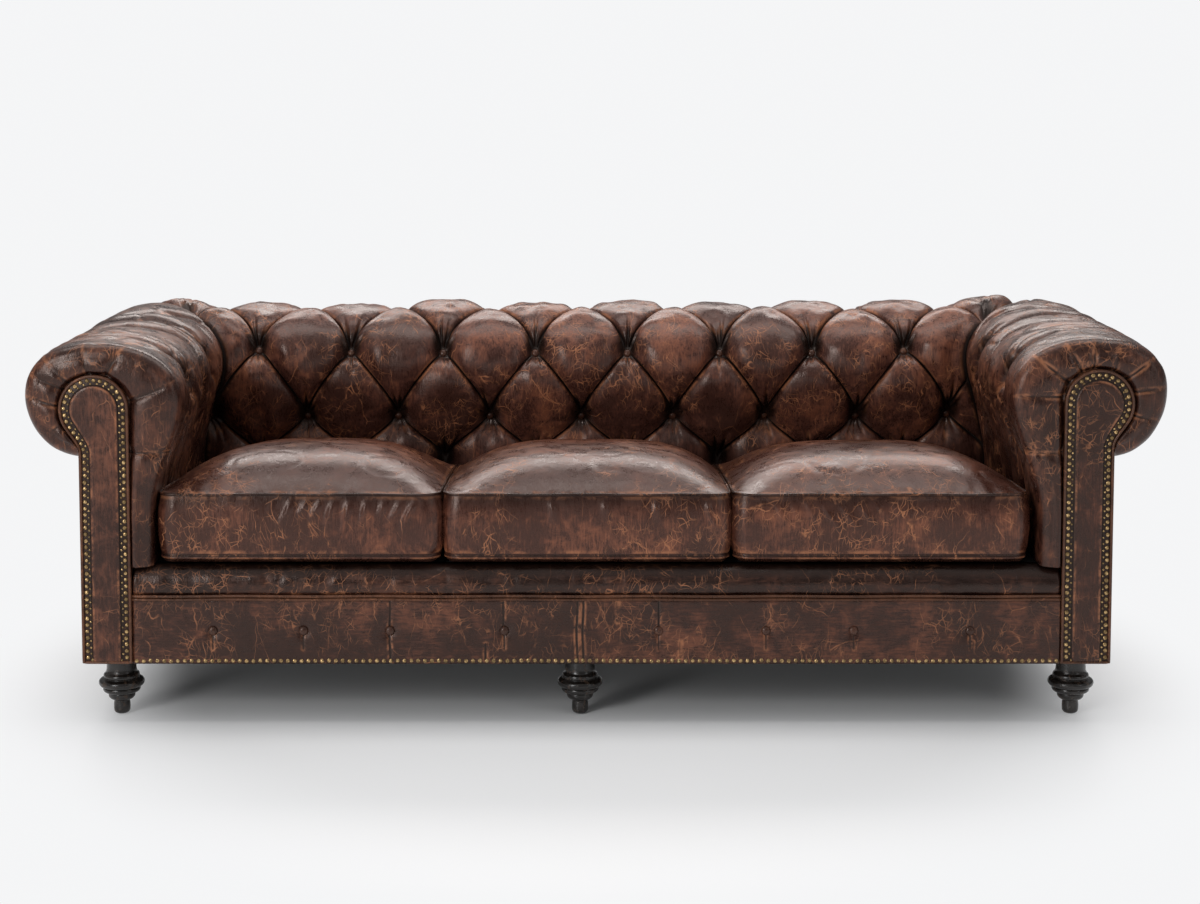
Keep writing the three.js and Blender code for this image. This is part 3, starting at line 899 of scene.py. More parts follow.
class SOFA_OT_inside_back(Operator):
    """Builds the buttoned inside back and the roll over its top"""

    bl_idname = "sofa.inside_back"
    bl_label = "Inside back"

    def execute(self, context):
        settings = context.scene.sofa_buttoning
        shell = Shell()
        nodes = back_nodes(settings)
        chance = np.random.default_rng(11)
        for left_nodes, right_nodes in pad_outlines(settings):
            top, bottom = left_nodes[0][0], left_nodes[-1][0]
            rows = band_samples(settings, top, bottom)
            level = SECTION.at(rows)[0]
            swell = chance.uniform(-0.5, 0.6)
            left = np.clip(crease_line(left_nodes, rows), -level, level)
            right = np.clip(crease_line(right_nodes, rows), -level, level)
            if (right - left).max() < 1e-6:
                continue
            s = np.repeat(rows[:, None], len(COLUMNS), axis=1)
            lateral = left[:, None] + (right - left)[:, None] * COLUMNS
            flat = roll_surface("back", s, lateral, 0.0)
            edge = level[:, None] - np.abs(lateral)
            height, nearest, rise = pad_height(
                settings, lateral, s,
                (left[:, None], crease_slope(left_nodes, rows)[:, None]),
                (right[:, None], crease_slope(right_nodes, rows)[:, None]),
                edge, nodes, flat, swell,
            )
            points = roll_surface("back", s, lateral, height * neck_fade(s))
            shell.grid(points, nearest, rise)
        piece = shell.make("inside_back_leather", material_for("inside"), merge=1e-4, ends=MITRES)
        fix(piece, "inside_leather", "inside_back", fill=0.6)
        lowest = back_rows(settings)[1] + 0.01
        shown = [node for node in nodes if node[0] > lowest]
        buttons(settings, "back", shown, "back_buttons")
        return {"FINISHED"}


def buttons(settings, part, nodes, name):
    """Covered buttons, one at the bottom of each well."""
    shell = Shell()
    for s, lateral in nodes:
        place = (np.array([s]), np.array([lateral]))
        sunk = roll_surface(part, *place, np.array([-WELL_FLOOR - 0.001]))[0]
        proud = roll_surface(part, *place, np.array([0.0]))[0]
        dome(shell, sunk, proud - sunk, settings.button, 0.0055, sides=16, skirt=0.006)
    piece = shell.make(name, material_for("button"))
    return fix(piece, "inside_leather")


# ------------------------------------------------------------------ rolled arms

class SOFA_PG_arms(PropertyGroup):
    edge: length_setting("Front edge", "Radius between top and front", 0.024)
    depth: length_setting("Pleat depth", "Of the pleats over the roll", 0.020)
    crown: length_setting("Crown", "Height of the pads over the section", 0.004)
    upper: length_setting("Upper row", "Height of the upper buttons", 0.665)
    lower: length_setting("Lower row", "Height of the lower buttons", 0.55)
    fold: length_setting("Front folds", "Depth of the folds round the front", 0.0085)
    step: length_setting("Step", "Between rows of points", 0.0046)


ARM_FRONT = BACK_SHIFT - 0.4515  # lateral place of the front face
ARM_PLEATS = (0.17, 0.315, 0.44, 0.565)  # and how far behind it each pleat over the roll lies
TUFT_BEHIND = 0.095  # the same for the button in front of them
# Degrees round the roll's head of the folds on its front face.
FRONT_FOLDS = {-1: (46, 31, 7, -27, 81, 112, 164.5), 1: (119, 98, 69, 42, 144.5, 172, 17, -18)}


def head_angle(out, up, side):
    """Degrees round the roll's head: 180 towards the seat, 90 on top."""
    return np.degrees(np.arctan2(up - HEAD_Z - ARM_LIFT[side], out - HEAD_X))


# Points of a facing's outline: up its inner edge, round the head, along the neck and down.
KEYHOLE_COUNTS = (46, 64, 8, 40)


def keyhole_points(side, inset, foot):
    """The facing's outline as (out, up), from the inner foot up round the head to the outer foot."""
    centre = HEAD_Z + ARM_LIFT[side]
    inner, outer = FRAME_IN_X + inset, OUTSIDE_X - inset
    radius = HEAD_R - inset
    upright, arc, neck, down = KEYHOLE_COUNTS
    first = np.linspace((inner, foot), (inner, centre), upright)
    turn = np.radians(np.linspace(180, -35, arc))
    head = np.stack([HEAD_X + radius * np.cos(turn), centre + radius * np.sin(turn)], axis=1)
    joint = (outer, centre - 0.086)
    tuck = (head[-1][0] - 0.010, head[-1][1] - 0.016)
    curve = bezier(head[-1], tuck, (outer + 0.001, joint[1] + 0.016), joint, neck)
    last = np.linspace(joint, (outer, foot), down)
    return np.concatenate([first, head[1:], curve[1:], last[1:]])


def roll_inner(side, s):
    """Where the roll's front face meets the facing, for each distance along the section."""
    out, up = SECTION.at(s)
    up = up + ARM_LIFT[side] * SECTION.lifted(s)
    outline = keyhole_points(side, 0.0, SEAT_Z)
    angles = head_angle(outline[:, 0], outline[:, 1], side)
    first = KEYHOLE_COUNTS[0]
    around = np.interp(-head_angle(out, up, side), -angles[first:], np.arange(first, len(angles)))
    below = np.interp(up, outline[:first, 1], np.arange(first))
    index = np.where((up < HEAD_Z + ARM_LIFT[side]) & (out < HEAD_X), below, around)
    steps = np.arange(len(outline))
    return np.interp(index, steps, outline[:, 0]), np.interp(index, steps, outline[:, 1])


def arm_rows(settings, side):
    """Distances along the section, close together at each fold of the front and each button."""
    even = np.arange(0, SECTION.length, settings.step)
    out, up = SECTION.at(even)
    angles = head_angle(out, up + ARM_LIFT[side] * SECTION.lifted(even), side)
    on_head = even > SECTION.at_height(0.55)
    folds = np.interp(-np.array(FRONT_FOLDS[side]), -angles[on_head], even[on_head])
    close = np.array([-0.007, -0.003, -0.0012, 0, 0.0012, 0.003, 0.007])
    rows = np.unique(np.concatenate([even, (folds[:, None] + close).ravel()]))
    keep = np.concatenate([[True], np.diff(rows) > 0.0008])
    rows = rows[keep & (rows < SECTION.length - 0.001)]
    return np.append(rows, SECTION.length)


def pleat_line(side, number, s):
    """Lateral place of a pleat over the arm at each distance along the section."""
    start = ARM_FRONT + ARM_PLEATS[number]
    from_crest = s - SECTION.at_height(0.74)
    kink = 0.026 * np.exp(-((from_crest / 0.055) ** 2)) - 0.020 * smooth_step(from_crest, 0.05, 0.30)
    wave = 0.006 * np.sin(s * 9.0 + number * 2.1 + side) + 0.0035 * np.sin(s * 23.0 + number)
    return start + kink * (1 if number % 2 else -0.8) + wave


def button_places(settings, side):
    """The arm's buttons as (s, lateral): one on each pleat, alternately high and low."""
    upper, lower = SECTION.at_height(settings.upper), SECTION.at_height(settings.lower)
    places = [(lower, ARM_FRONT + TUFT_BEHIND)]
    for number in range(len(ARM_PLEATS)):
        s = upper if number % 2 == 0 else lower
        places.append((s, float(pleat_line(side, number, s))))
    return places


def line_distance(lateral, s, first, second):
    """Distance in the unrolled surface from a straight fold between two places."""
    along = np.array([second[1] - first[1], second[0] - first[0]])
    length = np.hypot(*along)
    part = ((lateral - first[1]) * along[0] + (s - first[0]) * along[1]) / length ** 2
    part = np.clip(part, 0, 1)
    return np.hypot(lateral - first[1] - part * along[0], s - first[0] - part * along[1])


def add_tufts(height, nearest, shade, lateral, s, places):
    """Adds the straight folds between an arm's buttons, and the buttons' wells and gathers, with the painted
    shade in the wells and gathers.
    """
    for first, second in zip(places, places[1:]):
        gap = line_distance(lateral, s, first, second)
        height = height - 0.007 * np.exp(-((gap / 0.006) ** 2)) * smooth_step(nearest, 0.0, 0.012)
        nearest = np.minimum(nearest, gap + 0.001)
    for node_s, node_lateral in places:
        sideways, above = lateral - node_lateral, s - node_s
        away = np.hypot(sideways, above)
        height = height - 0.026 * np.exp(-((np.maximum(away - 0.008, 0) / 0.024) ** 1.2))
        fold, line = gathers(sideways, above, node_s + 9.7 * node_lateral)
        height = height - 0.0065 * fold * smooth_step(nearest, 0.0, 0.006)
        nearest = np.minimum(nearest, line)
        shade = shade * well_shade(sideways, above) * (1 - 0.8 * np.clip(fold, 0, 1))
    return height, nearest, shade


def arm_side(settings, side, rows):
    """The roll from just behind its front edge to the mitre, as a block for each panel between pleats:
    lateral places, heights, distances to the nearest crease, and rises, which are painted shade near the
    pleats, in the wells and along the gathers."""
    level = SECTION.at(rows)[0]
    start = np.full(len(rows), ARM_FRONT + settings.edge)
    bounds = [start] + [pleat_line(side, number, rows) for number in range(len(ARM_PLEATS))] + [level]
    places = button_places(settings, side)
    blocks = []
    for number, (near, far) in enumerate(zip(bounds, bounds[1:])):
        far = np.minimum(far, level)
        near = np.minimum(near, level)
        lateral = near[:, None] + (far - near)[:, None] * (COLUMNS if number else FIRST_COLUMNS)
        s = np.repeat(rows[:, None], lateral.shape[1], axis=1)
        near_d = lateral - near[:, None] if number else np.full(lateral.shape, FAR)
        far_d = far[:, None] - lateral
        edge = level[:, None] - lateral
        nearest = np.minimum(np.minimum(near_d, far_d), edge)
        rise = puff(near_d, 0.05) * puff(far_d, 0.05) * puff(edge, 0.05)
        to_neck = smooth_step(SECTION.length - s, 0.0, 0.25)
        pleat = settings.depth * (0.55 + 0.45 * smooth_step(s, 0.1, 0.35)) * to_neck
        depth = np.maximum(pleat, 0.014 * (1 - smooth_step(edge, 0.0, 0.05)))
        height = -depth + (depth + settings.crown) * rise ** 0.85
        height = height - 0.0035 * np.exp(-((nearest / 0.0028) ** 2)) * to_neck
        flat = roll_surface(side, s, lateral, 0.0)
        soft = 0.004 * value_noise(flat * (0.6, 1.3, 1), 11.0, 21) + 0.0015 * value_noise(flat, 34.0, 22)
        height = height + soft * smooth_step(nearest, 0.0, 0.03)
        ripple = 1 - smooth_step(np.abs(value_noise(flat * (0.5, 1.6, 0.8), 12.0, 24)), 0.0, 0.13)
        height = height - 0.0032 * ripple * smooth_step(nearest, 0.0, 0.02)
        nearest = np.minimum(nearest, 0.0022 + 0.02 * (1 - ripple))
        # Painted shade near the pleats and the roll's edge.
        shade = puff(near_d, 0.036) * puff(far_d, 0.036) * puff(edge, 0.03)
        height, nearest, shade = add_tufts(height, nearest, shade, lateral, s, places)
        fade = neck_fade(s)
        if number == 0:
            fade = fade * (0.4 + 0.6 * smooth_step(lateral, ARM_FRONT + settings.edge, ARM_FRONT + 0.08))
        blocks.append((lateral, np.maximum(height, -WELL_FLOOR) * fade, nearest, shade))
    return blocks


# The columns of the foremost panel, which has no crease at its front.
FIRST_COLUMNS = np.concatenate([np.linspace(0, 0.55, 14)[:-1], COLUMNS[COLUMNS > 0.5]])
FRONT_TUCK = 0.013  # how far the front face's inner edge lies behind the face
# The points round the front edge, and from it in to the facing.
EDGE_TURNS = np.radians([0, 12, 25, 38, 52, 65, 78, 90])
FACE_SHARES = np.array([0.06, 0.13, 0.21, 0.3, 0.39, 0.48, 0.57, 0.66, 0.75, 0.83, 0.9, 0.95, 0.985, 1.0])


def front_folds(settings, side, out, up, share):
    """Depth of the folds that radiate over the roll's front, and the distance to the nearest."""
    angle = head_angle(out, up, side)
    around = np.hypot(out - HEAD_X, up - HEAD_Z - ARM_LIFT[side])
    depth = np.zeros(out.shape)
    nearest = np.full(out.shape, FAR)
    for number, fold in enumerate(FRONT_FOLDS[side]):
        lean = fold + 5.0 * np.sin(number * 2.3) * (share - 0.5)
        gap = np.radians(np.abs(angle - lean)) * around
        gap = np.where(up < HEAD_Z - HEAD_R, FAR, gap)
        strength = (0.65 + 0.35 * math.sin(number * 1.7 + side)) * smooth_step(share, -0.3, 0.35)
        depth = np.maximum(depth, settings.fold * strength * np.exp(-(gap / 0.006)))
        fade_in = 0.003 * (1 - smooth_step(share, -0.2, 0.15))
        nearest = np.minimum(nearest, 0.8 * gap + 0.0008 + fade_in)
    crease = np.abs(up - 0.548 - 0.02 * (out - 0.9)) + np.where(out < 0.94, 0, FAR)
    depth = np.maximum(depth, 0.006 * np.exp(-(crease / 0.006)))
    return depth, np.minimum(nearest, crease + 0.001)


def arm_front(settings, side, rows, first_height):
    """The rounded front edge of the roll and its front face, in to the facing."""
    out, up = SECTION.at(rows)
    lean_out, lean_up = SECTION.normal(rows)
    up = up + ARM_LIFT[side] * SECTION.lifted(rows)
    inner_out, inner_up = roll_inner(side, rows)
    y = ARM_FRONT - BACK_SHIFT
    columns, creases, rises = [], [], []

    def add(out_at, up_at, y_at, share):
        depth, nearest = front_folds(settings, side, out_at, up_at, share)
        columns.append(np.stack([side * out_at, y_at + depth, up_at], axis=-1))
        creases.append(nearest)
        # Rubbed lighter round the front edge, as wear and in part a painted highlight; painted shade in the
        # folds of the front face.
        shade = 0.95 if share < 0.1 else 0.7
        rises.append(np.full(len(rows), shade) - np.minimum(depth / settings.fold, 1) * 0.4)

    for turn in EDGE_TURNS:
        drop = first_height * math.cos(turn) - settings.edge * (1 - math.cos(turn))
        place = y + settings.edge * (1 - math.sin(turn))
        add(out + lean_out * drop, up + lean_up * drop, np.full(len(rows), place), -0.3 + 0.2 * turn)
    start_out = out - lean_out * settings.edge
    start_up = up - lean_up * settings.edge
    for share in FACE_SHARES:
        out_at = start_out + (inner_out - start_out) * share
        up_at = start_up + (inner_up - start_up) * share
        plan = np.stack([out_at, np.full(len(rows), side * 1.0), up_at], axis=-1)
        bulge = 0.0045 * math.sin(math.pi * min(1, share * 1.05)) + 0.0012 * value_noise(plan, 28.0, 8)
        tuck = 0.012 * float(smooth_step(share, 0.8, 1.0))
        add(out_at, up_at, y - bulge + tuck, share)
    columns[-1][:, 1] = y + FRONT_TUCK
    return np.stack(columns, axis=1), np.stack(creases, axis=1), np.stack(rises, axis=1)


class SOFA_OT_arms(Operator):
    """Builds both rolled arms with their pleats, front folds and buttons"""

    bl_idname = "sofa.arms"
    bl_label = "Arms"

    def execute(self, context):
        settings = context.scene.sofa_arms
        for side, name in SIDE_NAME.items():
            shell = Shell()
            rows = arm_rows(settings, side)
            blocks = arm_side(settings, side, rows)
            for lateral, height, nearest, rise in blocks:
                s = np.repeat(rows[:, None], lateral.shape[1], axis=1)
                shell.grid(roll_surface(side, s, lateral, height), nearest, rise)
            shell.grid(*arm_front(settings, side, rows, blocks[0][1][:, 0]))
            inner_y = ARM_FRONT - BACK_SHIFT + FRONT_TUCK
            ends = (at_mitre(side), lambda place: abs(place.y - inner_y) < 1e-5)
            piece = shell.make(f"inside_arm_leather_{name}", material_for("arm"), merge=1e-4, ends=ends)
            fix(piece, "inside_leather", f"inside_arm_{name}", fill=0.6)
            places = button_places(settings, side)
            buttons(context.scene.sofa_buttoning, side, places, f"arm_buttons_{name}")
        return {"FINISHED"}


# ------------------------------------------------------------------ facings, border and nails

class SOFA_PG_trim(PropertyGroup):
    piping: length_setting("Piping", "Radius of the piping", 0.0031)
    band: length_setting("Band", "Sunk band between piping and pad", 0.0175)
    nail: length_setting("Nail", "Radius of the large nail heads", 0.0046)
    nail_pitch: length_setting("Nail pitch", "Between large nails", 0.0132)
    small_nail: length_setting("Small nail", "Radius of the inner row", 0.0023)
    base_pitch: length_setting("Base pitch", "Between nails of the lower edge", 0.0138)
    base_nail_z: length_setting("Base nails", "Height of the lowest row", 0.1255)


def closed_keyhole(side, inset):
    """The facing's outline as a loop, its foot closed by a straight run."""
    outline = keyhole_points(side, inset, BASE_Z + 0.0015 + min(inset, 0.0035 + 0.1 * inset))
    foot = np.linspace(outline[-1], outline[0], 18)[1:-1]
    return np.concatenate([outline, foot])


def spaced(path, pitch):
    """Points along a path at an even pitch."""
    path = np.asarray(path)
    steps = np.linalg.norm(np.diff(path, axis=0), axis=1)
    run = np.concatenate([[0], np.cumsum(steps)])
    at = np.linspace(0, run[-1], max(2, round(run[-1] / pitch) + 1))
    return np.stack([np.interp(at, run, path[:, axis]) for axis in range(path.shape[1])], axis=1)


def facing(trim, side, name):
    """The keyhole panel on the front of an arm: backing, sunk band and thin padded middle."""
    shell = Shell()
    flush = FRONT_Y + 0.0045
    band = 0.0035 + trim.band
    profile = (
        (0.0006, FRONT_Y + 0.018), (0.0006, flush + 0.001), (0.003, flush), (band - 0.001, flush),
        (band, flush - 0.0004), (band + 0.001, flush - 0.0022), (band + 0.003, flush - 0.0036),
        (band + 0.006, flush - 0.0042), (band + 0.011, flush - 0.0044), (band + 0.017, flush - 0.0045),
        (band + 0.022, flush - 0.0045),
    )
    rings, rises, creases = [], [], []
    for inset, y in profile:
        loop = closed_keyhole(side, inset)
        ring = np.stack([side * loop[:, 0], np.full(len(loop), y), loop[:, 1]], axis=1)
        if inset > band:
            ring[:, 1] += 0.0007 * value_noise(ring, 30.0, 31) * smooth_step(inset, band, band + 0.01)
        rings.append(ring)
        # Painted shade in the sunk band round the pad.
        rises.append(0.35 if inset < band else 0.9)
        creases.append(min(abs(inset - 0.0048), abs(inset - band)) if inset < band + 0.02 else FAR)
    index = shell.grid(np.array(rings), np.array(creases)[:, None], np.array(rises)[:, None], loop=True)
    shell.face(index[-1])
    shell.face(index[0][::-1])
    loop = closed_keyhole(side, 0.0032)
    path = np.stack([side * loop[:, 0], np.full(len(loop), flush - 0.0008), loop[:, 1]], axis=1)
    pipe = Shell()
    tube(pipe, path, trim.piping, closed=True)
    fix(pipe.make(f"facing_piping_{name}", material_for("piping")), "border_leather")
    piece = shell.make(f"arm_facing_leather_{name}", material_for("facing"))
    return fix(piece, "border_leather", f"arm_facing_{name}")


def nail(shell, centre, outward, radius, spread=1.0):
    """One upholstery nail's head, made wider by its spread."""
    dome(shell, centre, outward, radius * spread, radius * 0.62, rings=3, sides=10)


def facing_nails(trim, side, name):
    """Two rows of nails in the facing's sunk band, and one along its foot."""
    shell = Shell()
    chance = np.random.default_rng(5 + side)
    y = FRONT_Y + 0.0044
    for inset, radius in ((0.0112, trim.nail), (0.0183, trim.small_nail)):
        outline = keyhole_points(side, inset, BASE_Z + 0.004 + inset)
        for out, up in spaced(outline, trim.nail_pitch):
            jog = chance.normal(0, 0.00035, 2)
            lean = chance.normal(0, 0.08, 2)
            centre = (side * (out + jog[0]), y, up + jog[1])
            nail(shell, centre, (lean[0], -1, lean[1]), radius, chance.uniform(0.93, 1.05))
    for x in np.arange(FRAME_IN_X + 0.024, OUTSIDE_X - 0.018, trim.base_pitch):
        nail(shell, (side * x, y, trim.base_nail_z + 0.002), (0, -1, 0), trim.nail)
    return fix(shell.make(f"facing_nails_{name}", material_for("brass")), "antique_brass")


class SOFA_OT_facings(Operator):
    """Builds the keyhole facings with their piping and nails"""

    bl_idname = "sofa.facings"
    bl_label = "Arm facings"

    def execute(self, context):
        for side, name in SIDE_NAME.items():
            facing(context.scene.sofa_trim, side, name)
            facing_nails(context.scene.sofa_trim, side, name)
        return {"FINISHED"}


BORDER_X = FRAME_IN_X - 0.0008
BORDER_FRONT = FRONT_Y + 0.0085
# X of the border's buttons, and of the seams that run over its whole height.
RAIL_BUTTONS = (-0.771, -0.589, -0.415, -0.185, 0.125, 0.341, 0.517, 0.751)
RAIL_BUTTON_Z = 0.186
FULL_SEAMS = (-0.039, -0.027, -0.415)
# Short seams, each as its X and the heights that it runs between.
PART_SEAMS = (
    (-0.223, 0.128, 0.160),
    (-0.187, 0.196, 0.246),
    (0.043, 0.205, 0.246),
    (0.125, 0.196, 0.246),
    (0.169, 0.13, 0.165),
)


def seam_lines(x, z):
    """Distance to the nearest upright seam of the border."""
    nearest = np.full(x.shape, FAR)
    for place in FULL_SEAMS:
        nearest = np.minimum(nearest, np.abs(x - place - 0.001 * np.sin(z * 60)))
    for place, low, high in PART_SEAMS:
        beyond = np.maximum(0, np.maximum(low - z, z - high))
        nearest = np.minimum(nearest, np.hypot(x - place, beyond))
    for place in RAIL_BUTTONS:
        beyond = np.maximum(0, np.maximum(0.150 - z, z - RAIL_BUTTON_Z))
        nearest = np.minimum(nearest, np.hypot(x - place, beyond) + 0.0008)
    return nearest


def border_panel():
    """The long panel under the seat, thinly padded, seamed and tufted."""
    shell = Shell()
    beside = (-0.004, -0.0015, 0, 0.0015, 0.004)
    fine = [place + step for place in (*FULL_SEAMS, *RAIL_BUTTONS) for step in beside]
    across = np.unique(np.concatenate([np.arange(-BORDER_X, BORDER_X, 0.006), fine, [BORDER_X]]))
    up = np.linspace(BASE_Z + 0.0006, LIP_Z - 0.002, 32)
    x, z = np.meshgrid(across, up)
    seam = seam_lines(x, z)
    middle = puff(z - up[0], 0.012) * puff(up[-1] - z, 0.012)
    bulge = 0.0026 * middle - 0.0016 * np.exp(-(seam / 0.0022))
    place = np.stack([x, np.zeros(x.shape), z], axis=-1)
    slack = 0.0012 * value_noise(place, 9.0, 41) + 0.0006 * value_noise(place, 32.0, 42)
    bulge = bulge + slack * middle
    for button in RAIL_BUTTONS:
        away = np.hypot(x - button, z - RAIL_BUTTON_Z)
        bulge = bulge - 0.0065 * np.exp(-((away / 0.013) ** 1.4))
        bulge = bulge - 0.0007 * gathers((x - button) * 1.6, (z - RAIL_BUTTON_Z) * 1.6, button)[0]
    points = np.stack([x, BORDER_FRONT - bulge, z], axis=-1)
    back = points.copy()
    back[..., 1] = FRONT_Y + 0.0185
    # Painted shade along the top and bottom edges of the border, lighter over its padded middle.
    solid_from_sheet(shell, points, back, seam, 0.3 + 0.5 * middle)
    piece = shell.make("front_border_leather", material_for("border"))
    return fix(piece, "border_leather", "front_border")


def solid_from_sheet(shell, front, back, crease, rise):
    """Closes a front grid with a back grid of the same size."""
    first = shell.grid(front, crease, rise)
    last = shell.grid(back)
    join_rings(shell, ring_of(first), ring_of(last))


def lip_profile():
    """Front and top of the padded bar, as (y, up)."""
    foot = LIP_Z + 0.0006
    nose = FRONT_Y + 0.0005
    rear = -0.396
    start, end = (FRONT_Y + 0.013, foot), (FRONT_Y + 0.030, SEAT_Z)
    front = bezier(start, (nose, LIP_Z + 0.008), (nose, SEAT_Z - 0.012), end, 22)
    return np.concatenate([front, [(-0.415, SEAT_Z), (rear, SEAT_Z), (rear, foot)]])


def front_lip():
    """The padded bar that the cushions' fronts stand on."""
    shell = Shell()
    profile = lip_profile()
    across = np.linspace(-BORDER_X + 0.002, BORDER_X - 0.002, 340)
    ends = smooth_step(BORDER_X - np.abs(across), 0.0, 0.02)
    points = np.array([np.column_stack([np.full(len(profile), x), profile]) for x in across])
    soft = 0.0016 * value_noise(points * (0.6, 1, 1), 11.0, 51)
    soft = soft + 0.0011 * value_noise(points * (1.6, 0.6, 0.6), 30.0, 52)
    fold = np.abs(value_noise(points * (1.2, 0.3, 0.3), 16.0, 53))
    soft = soft - 0.0016 * (1 - smooth_step(fold, 0.0, 0.12))
    front_part = smooth_step(points[..., 2], LIP_Z + 0.004, LIP_Z + 0.02) * (points[..., 1] < -0.41)
    points[..., 1] -= soft * front_part * ends[:, None]
    points[..., 1] = np.maximum(points[..., 1], FRONT_Y)
    # Painted shadow: the top of the lip, under the cushions' fronts, is darker.
    rise = 0.60 - 0.42 * smooth_step(points[..., 2], LIP_Z + 0.034, LIP_Z + 0.058)
    index = shell.grid(points, FAR, rise, loop=True)
    shell.face(index[0])
    shell.face(index[-1][::-1])
    piece = shell.make("front_lip_leather", material_for("lip"))
    return fix(piece, "border_leather", "front_lip", fill=0.6)


def border_trim(trim):
    """Twin piping under the lip, the border's buttons and its row of nails."""
    pipes = Shell()
    across = np.linspace(-BORDER_X, BORDER_X, 200)
    for z, y in ((LIP_Z + 0.0015, FRONT_Y + 0.0052), (LIP_Z - 0.0052, FRONT_Y + 0.0052)):
        sway = 0.0005 * np.sin(across * 23.0 + z * 900)
        tube(pipes, np.stack([across, np.full(200, y), z + sway], axis=1), trim.piping * 0.95)
    fix(pipes.make("lip_piping", material_for("piping")), "border_leather")
    stud = Shell()
    for x in RAIL_BUTTONS:
        centre = (x, BORDER_FRONT + 0.0015, RAIL_BUTTON_Z)
        dome(stud, centre, (0, -1, 0.06), 0.0098, 0.0058, sides=18, skirt=0.004)
    fix(stud.make("border_buttons", material_for("button")), "border_leather")
    nails = Shell()
    chance = np.random.default_rng(9)
    for x in np.arange(-BORDER_X + 0.007, BORDER_X - 0.004, trim.base_pitch):
        z = trim.base_nail_z + chance.normal(0, 0.0004)
        nail(nails, (x, BORDER_FRONT - 0.0016, z), (chance.normal(0, 0.08), -1, 0), trim.nail)
    return fix(nails.make("border_nails", material_for("brass")), "antique_brass")


class SOFA_OT_front(Operator):
    """Builds the lip and the border under the cushions"""

    bl_idname = "sofa.front"
    bl_label = "Front lip and border"

    def execute(self, context):
        border_panel()
        front_lip()
        border_trim(context.scene.sofa_trim)
        return {"FINISHED"}


# ------------------------------------------------------------------ outside panels

def outside_panel(name, node, material, across, up, place, outward):
    """A flat panel of hide over card, slightly slack. place maps (across, up, out) to a point."""
    shell = Shell()
    u, z = np.meshgrid(np.linspace(*across, 90), np.linspace(*up, 40))
    reach = 0.02
    rim = puff(u - across[0], reach) * puff(across[1] - u, reach)
    rim = rim * puff(z - up[0], reach) * puff(up[1] - z, reach)
    flat = np.stack([u, z, np.full(u.shape, outward)], axis=-1)
    slack = 0.0016 * value_noise(flat, 5.0, 61) + 0.0008 * value_noise(flat, 19.0, 62)
    out = 0.0032 * rim + slack * rim
    behind = place(u, z, np.full(u.shape, -0.004))
    # Painted shade along the panel's edges, lighter over its middle.
    solid_from_sheet(shell, place(u, z, out), behind, FAR, 0.25 + 0.4 * rim)
    return fix(shell.make(name, material), "border_leather", node)


PANEL_REAR = 0.347  # where the outside arms end and the outside back lies


def outside_arm(trim, side, name, up, pipes, nails):
    """One outside arm panel, its piping along the top and the rear, and its nails."""
    def place(along, z, out):
        return np.stack([side * (OUTSIDE_X - 0.001 + out), along, z], axis=-1)

    across = (FRONT_Y + 0.0185, PANEL_REAR)
    leather_name, node = f"outside_arm_leather_{name}", f"outside_arm_{name}"
    outside_panel(leather_name, node, material_for("border"), across, up, place, side)
    x = side * (OUTSIDE_X + 0.001)
    tube(pipes, [(x, y, NECK_Z - 0.001) for y in np.linspace(FRONT_Y + 0.02, PANEL_REAR, 60)], trim.piping)
    x = side * (OUTSIDE_X + 0.0005)
    heights = np.linspace(up[0] + 0.002, up[1], 40)
    tube(pipes, [(x, PANEL_REAR + 0.0015, z) for z in heights], trim.piping)
    for y in np.arange(FRONT_Y + 0.026, PANEL_REAR, trim.base_pitch):
        nail(nails, (x, y, trim.base_nail_z), (side, 0, 0), trim.nail)


def outside_back(trim, up, pipes, nails):
    """The outside back panel with its piping and nails."""
    def place(across, z, out):
        return np.stack([across, PANEL_REAR + 0.0015 + out, z], axis=-1)

    wide = OUTSIDE_X - 0.002
    outside_panel("outside_back_leather", "outside_back", material_for("border"), (-wide, wide), up, place, 0)
    tube(pipes, [(x, PANEL_REAR + 0.003, NECK_Z - 0.001) for x in np.linspace(-wide, wide, 120)], trim.piping)
    for x in np.arange(-wide + 0.006, wide, trim.base_pitch):
        nail(nails, (x, PANEL_REAR + 0.0025, trim.base_nail_z), (0, 1, 0), trim.nail)


class SOFA_OT_outside(Operator):
    """Builds the outside arm and back panels with their piping and nails"""

    bl_idname = "sofa.outside"
    bl_label = "Outside panels"

    def execute(self, context):
        trim = context.scene.sofa_trim
        pipes, nails = Shell(), Shell()
        up = (BASE_Z + 0.0006, NECK_Z - 0.002)
        for side, name in SIDE_NAME.items():
            outside_arm(trim, side, name, up, pipes, nails)
        outside_back(trim, up, pipes, nails)
        fix(pipes.make("outside_piping", material_for("piping")), "border_leather")
        fix(nails.make("outside_nails", material_for("brass")), "antique_brass")
        return {"FINISHED"}


# ------------------------------------------------------------------ seat cushions

class SOFA_PG_cushions(PropertyGroup):
    front: length_setting("Front", "Y of the cushions' fronts", -0.4375)
    rear: length_setting("Rear", "Y of the cushions' backs", 0.190)
    seam: length_setting("Upper seam", "Height of the upper seam", 0.462)
    foot: length_setting("Lower seam", "Height of the lower seam", 0.338)
    crown: length_setting("Crown", "Rise of the top over its seam", 0.074)
    settle: length_setting("Settle", "Fall of the seam from front to back", 0.054)
    corner: length_setting("Corner", "Radius of the upright corners", 0.034)
    across: length_setting("Step across", "Between points along X", 0.0034)
    back: length_setting("Step back", "Between points along Y", 0.0072)


# First and last X of each cushion, and how slack its hide is.
CUSHIONS = {"left": (-0.880, -0.313), "middle": (-0.308, 0.270), "right": (0.275, 0.868)}
SLACK = {"left": 1.0, "middle": 0.85, "right": 1.15}


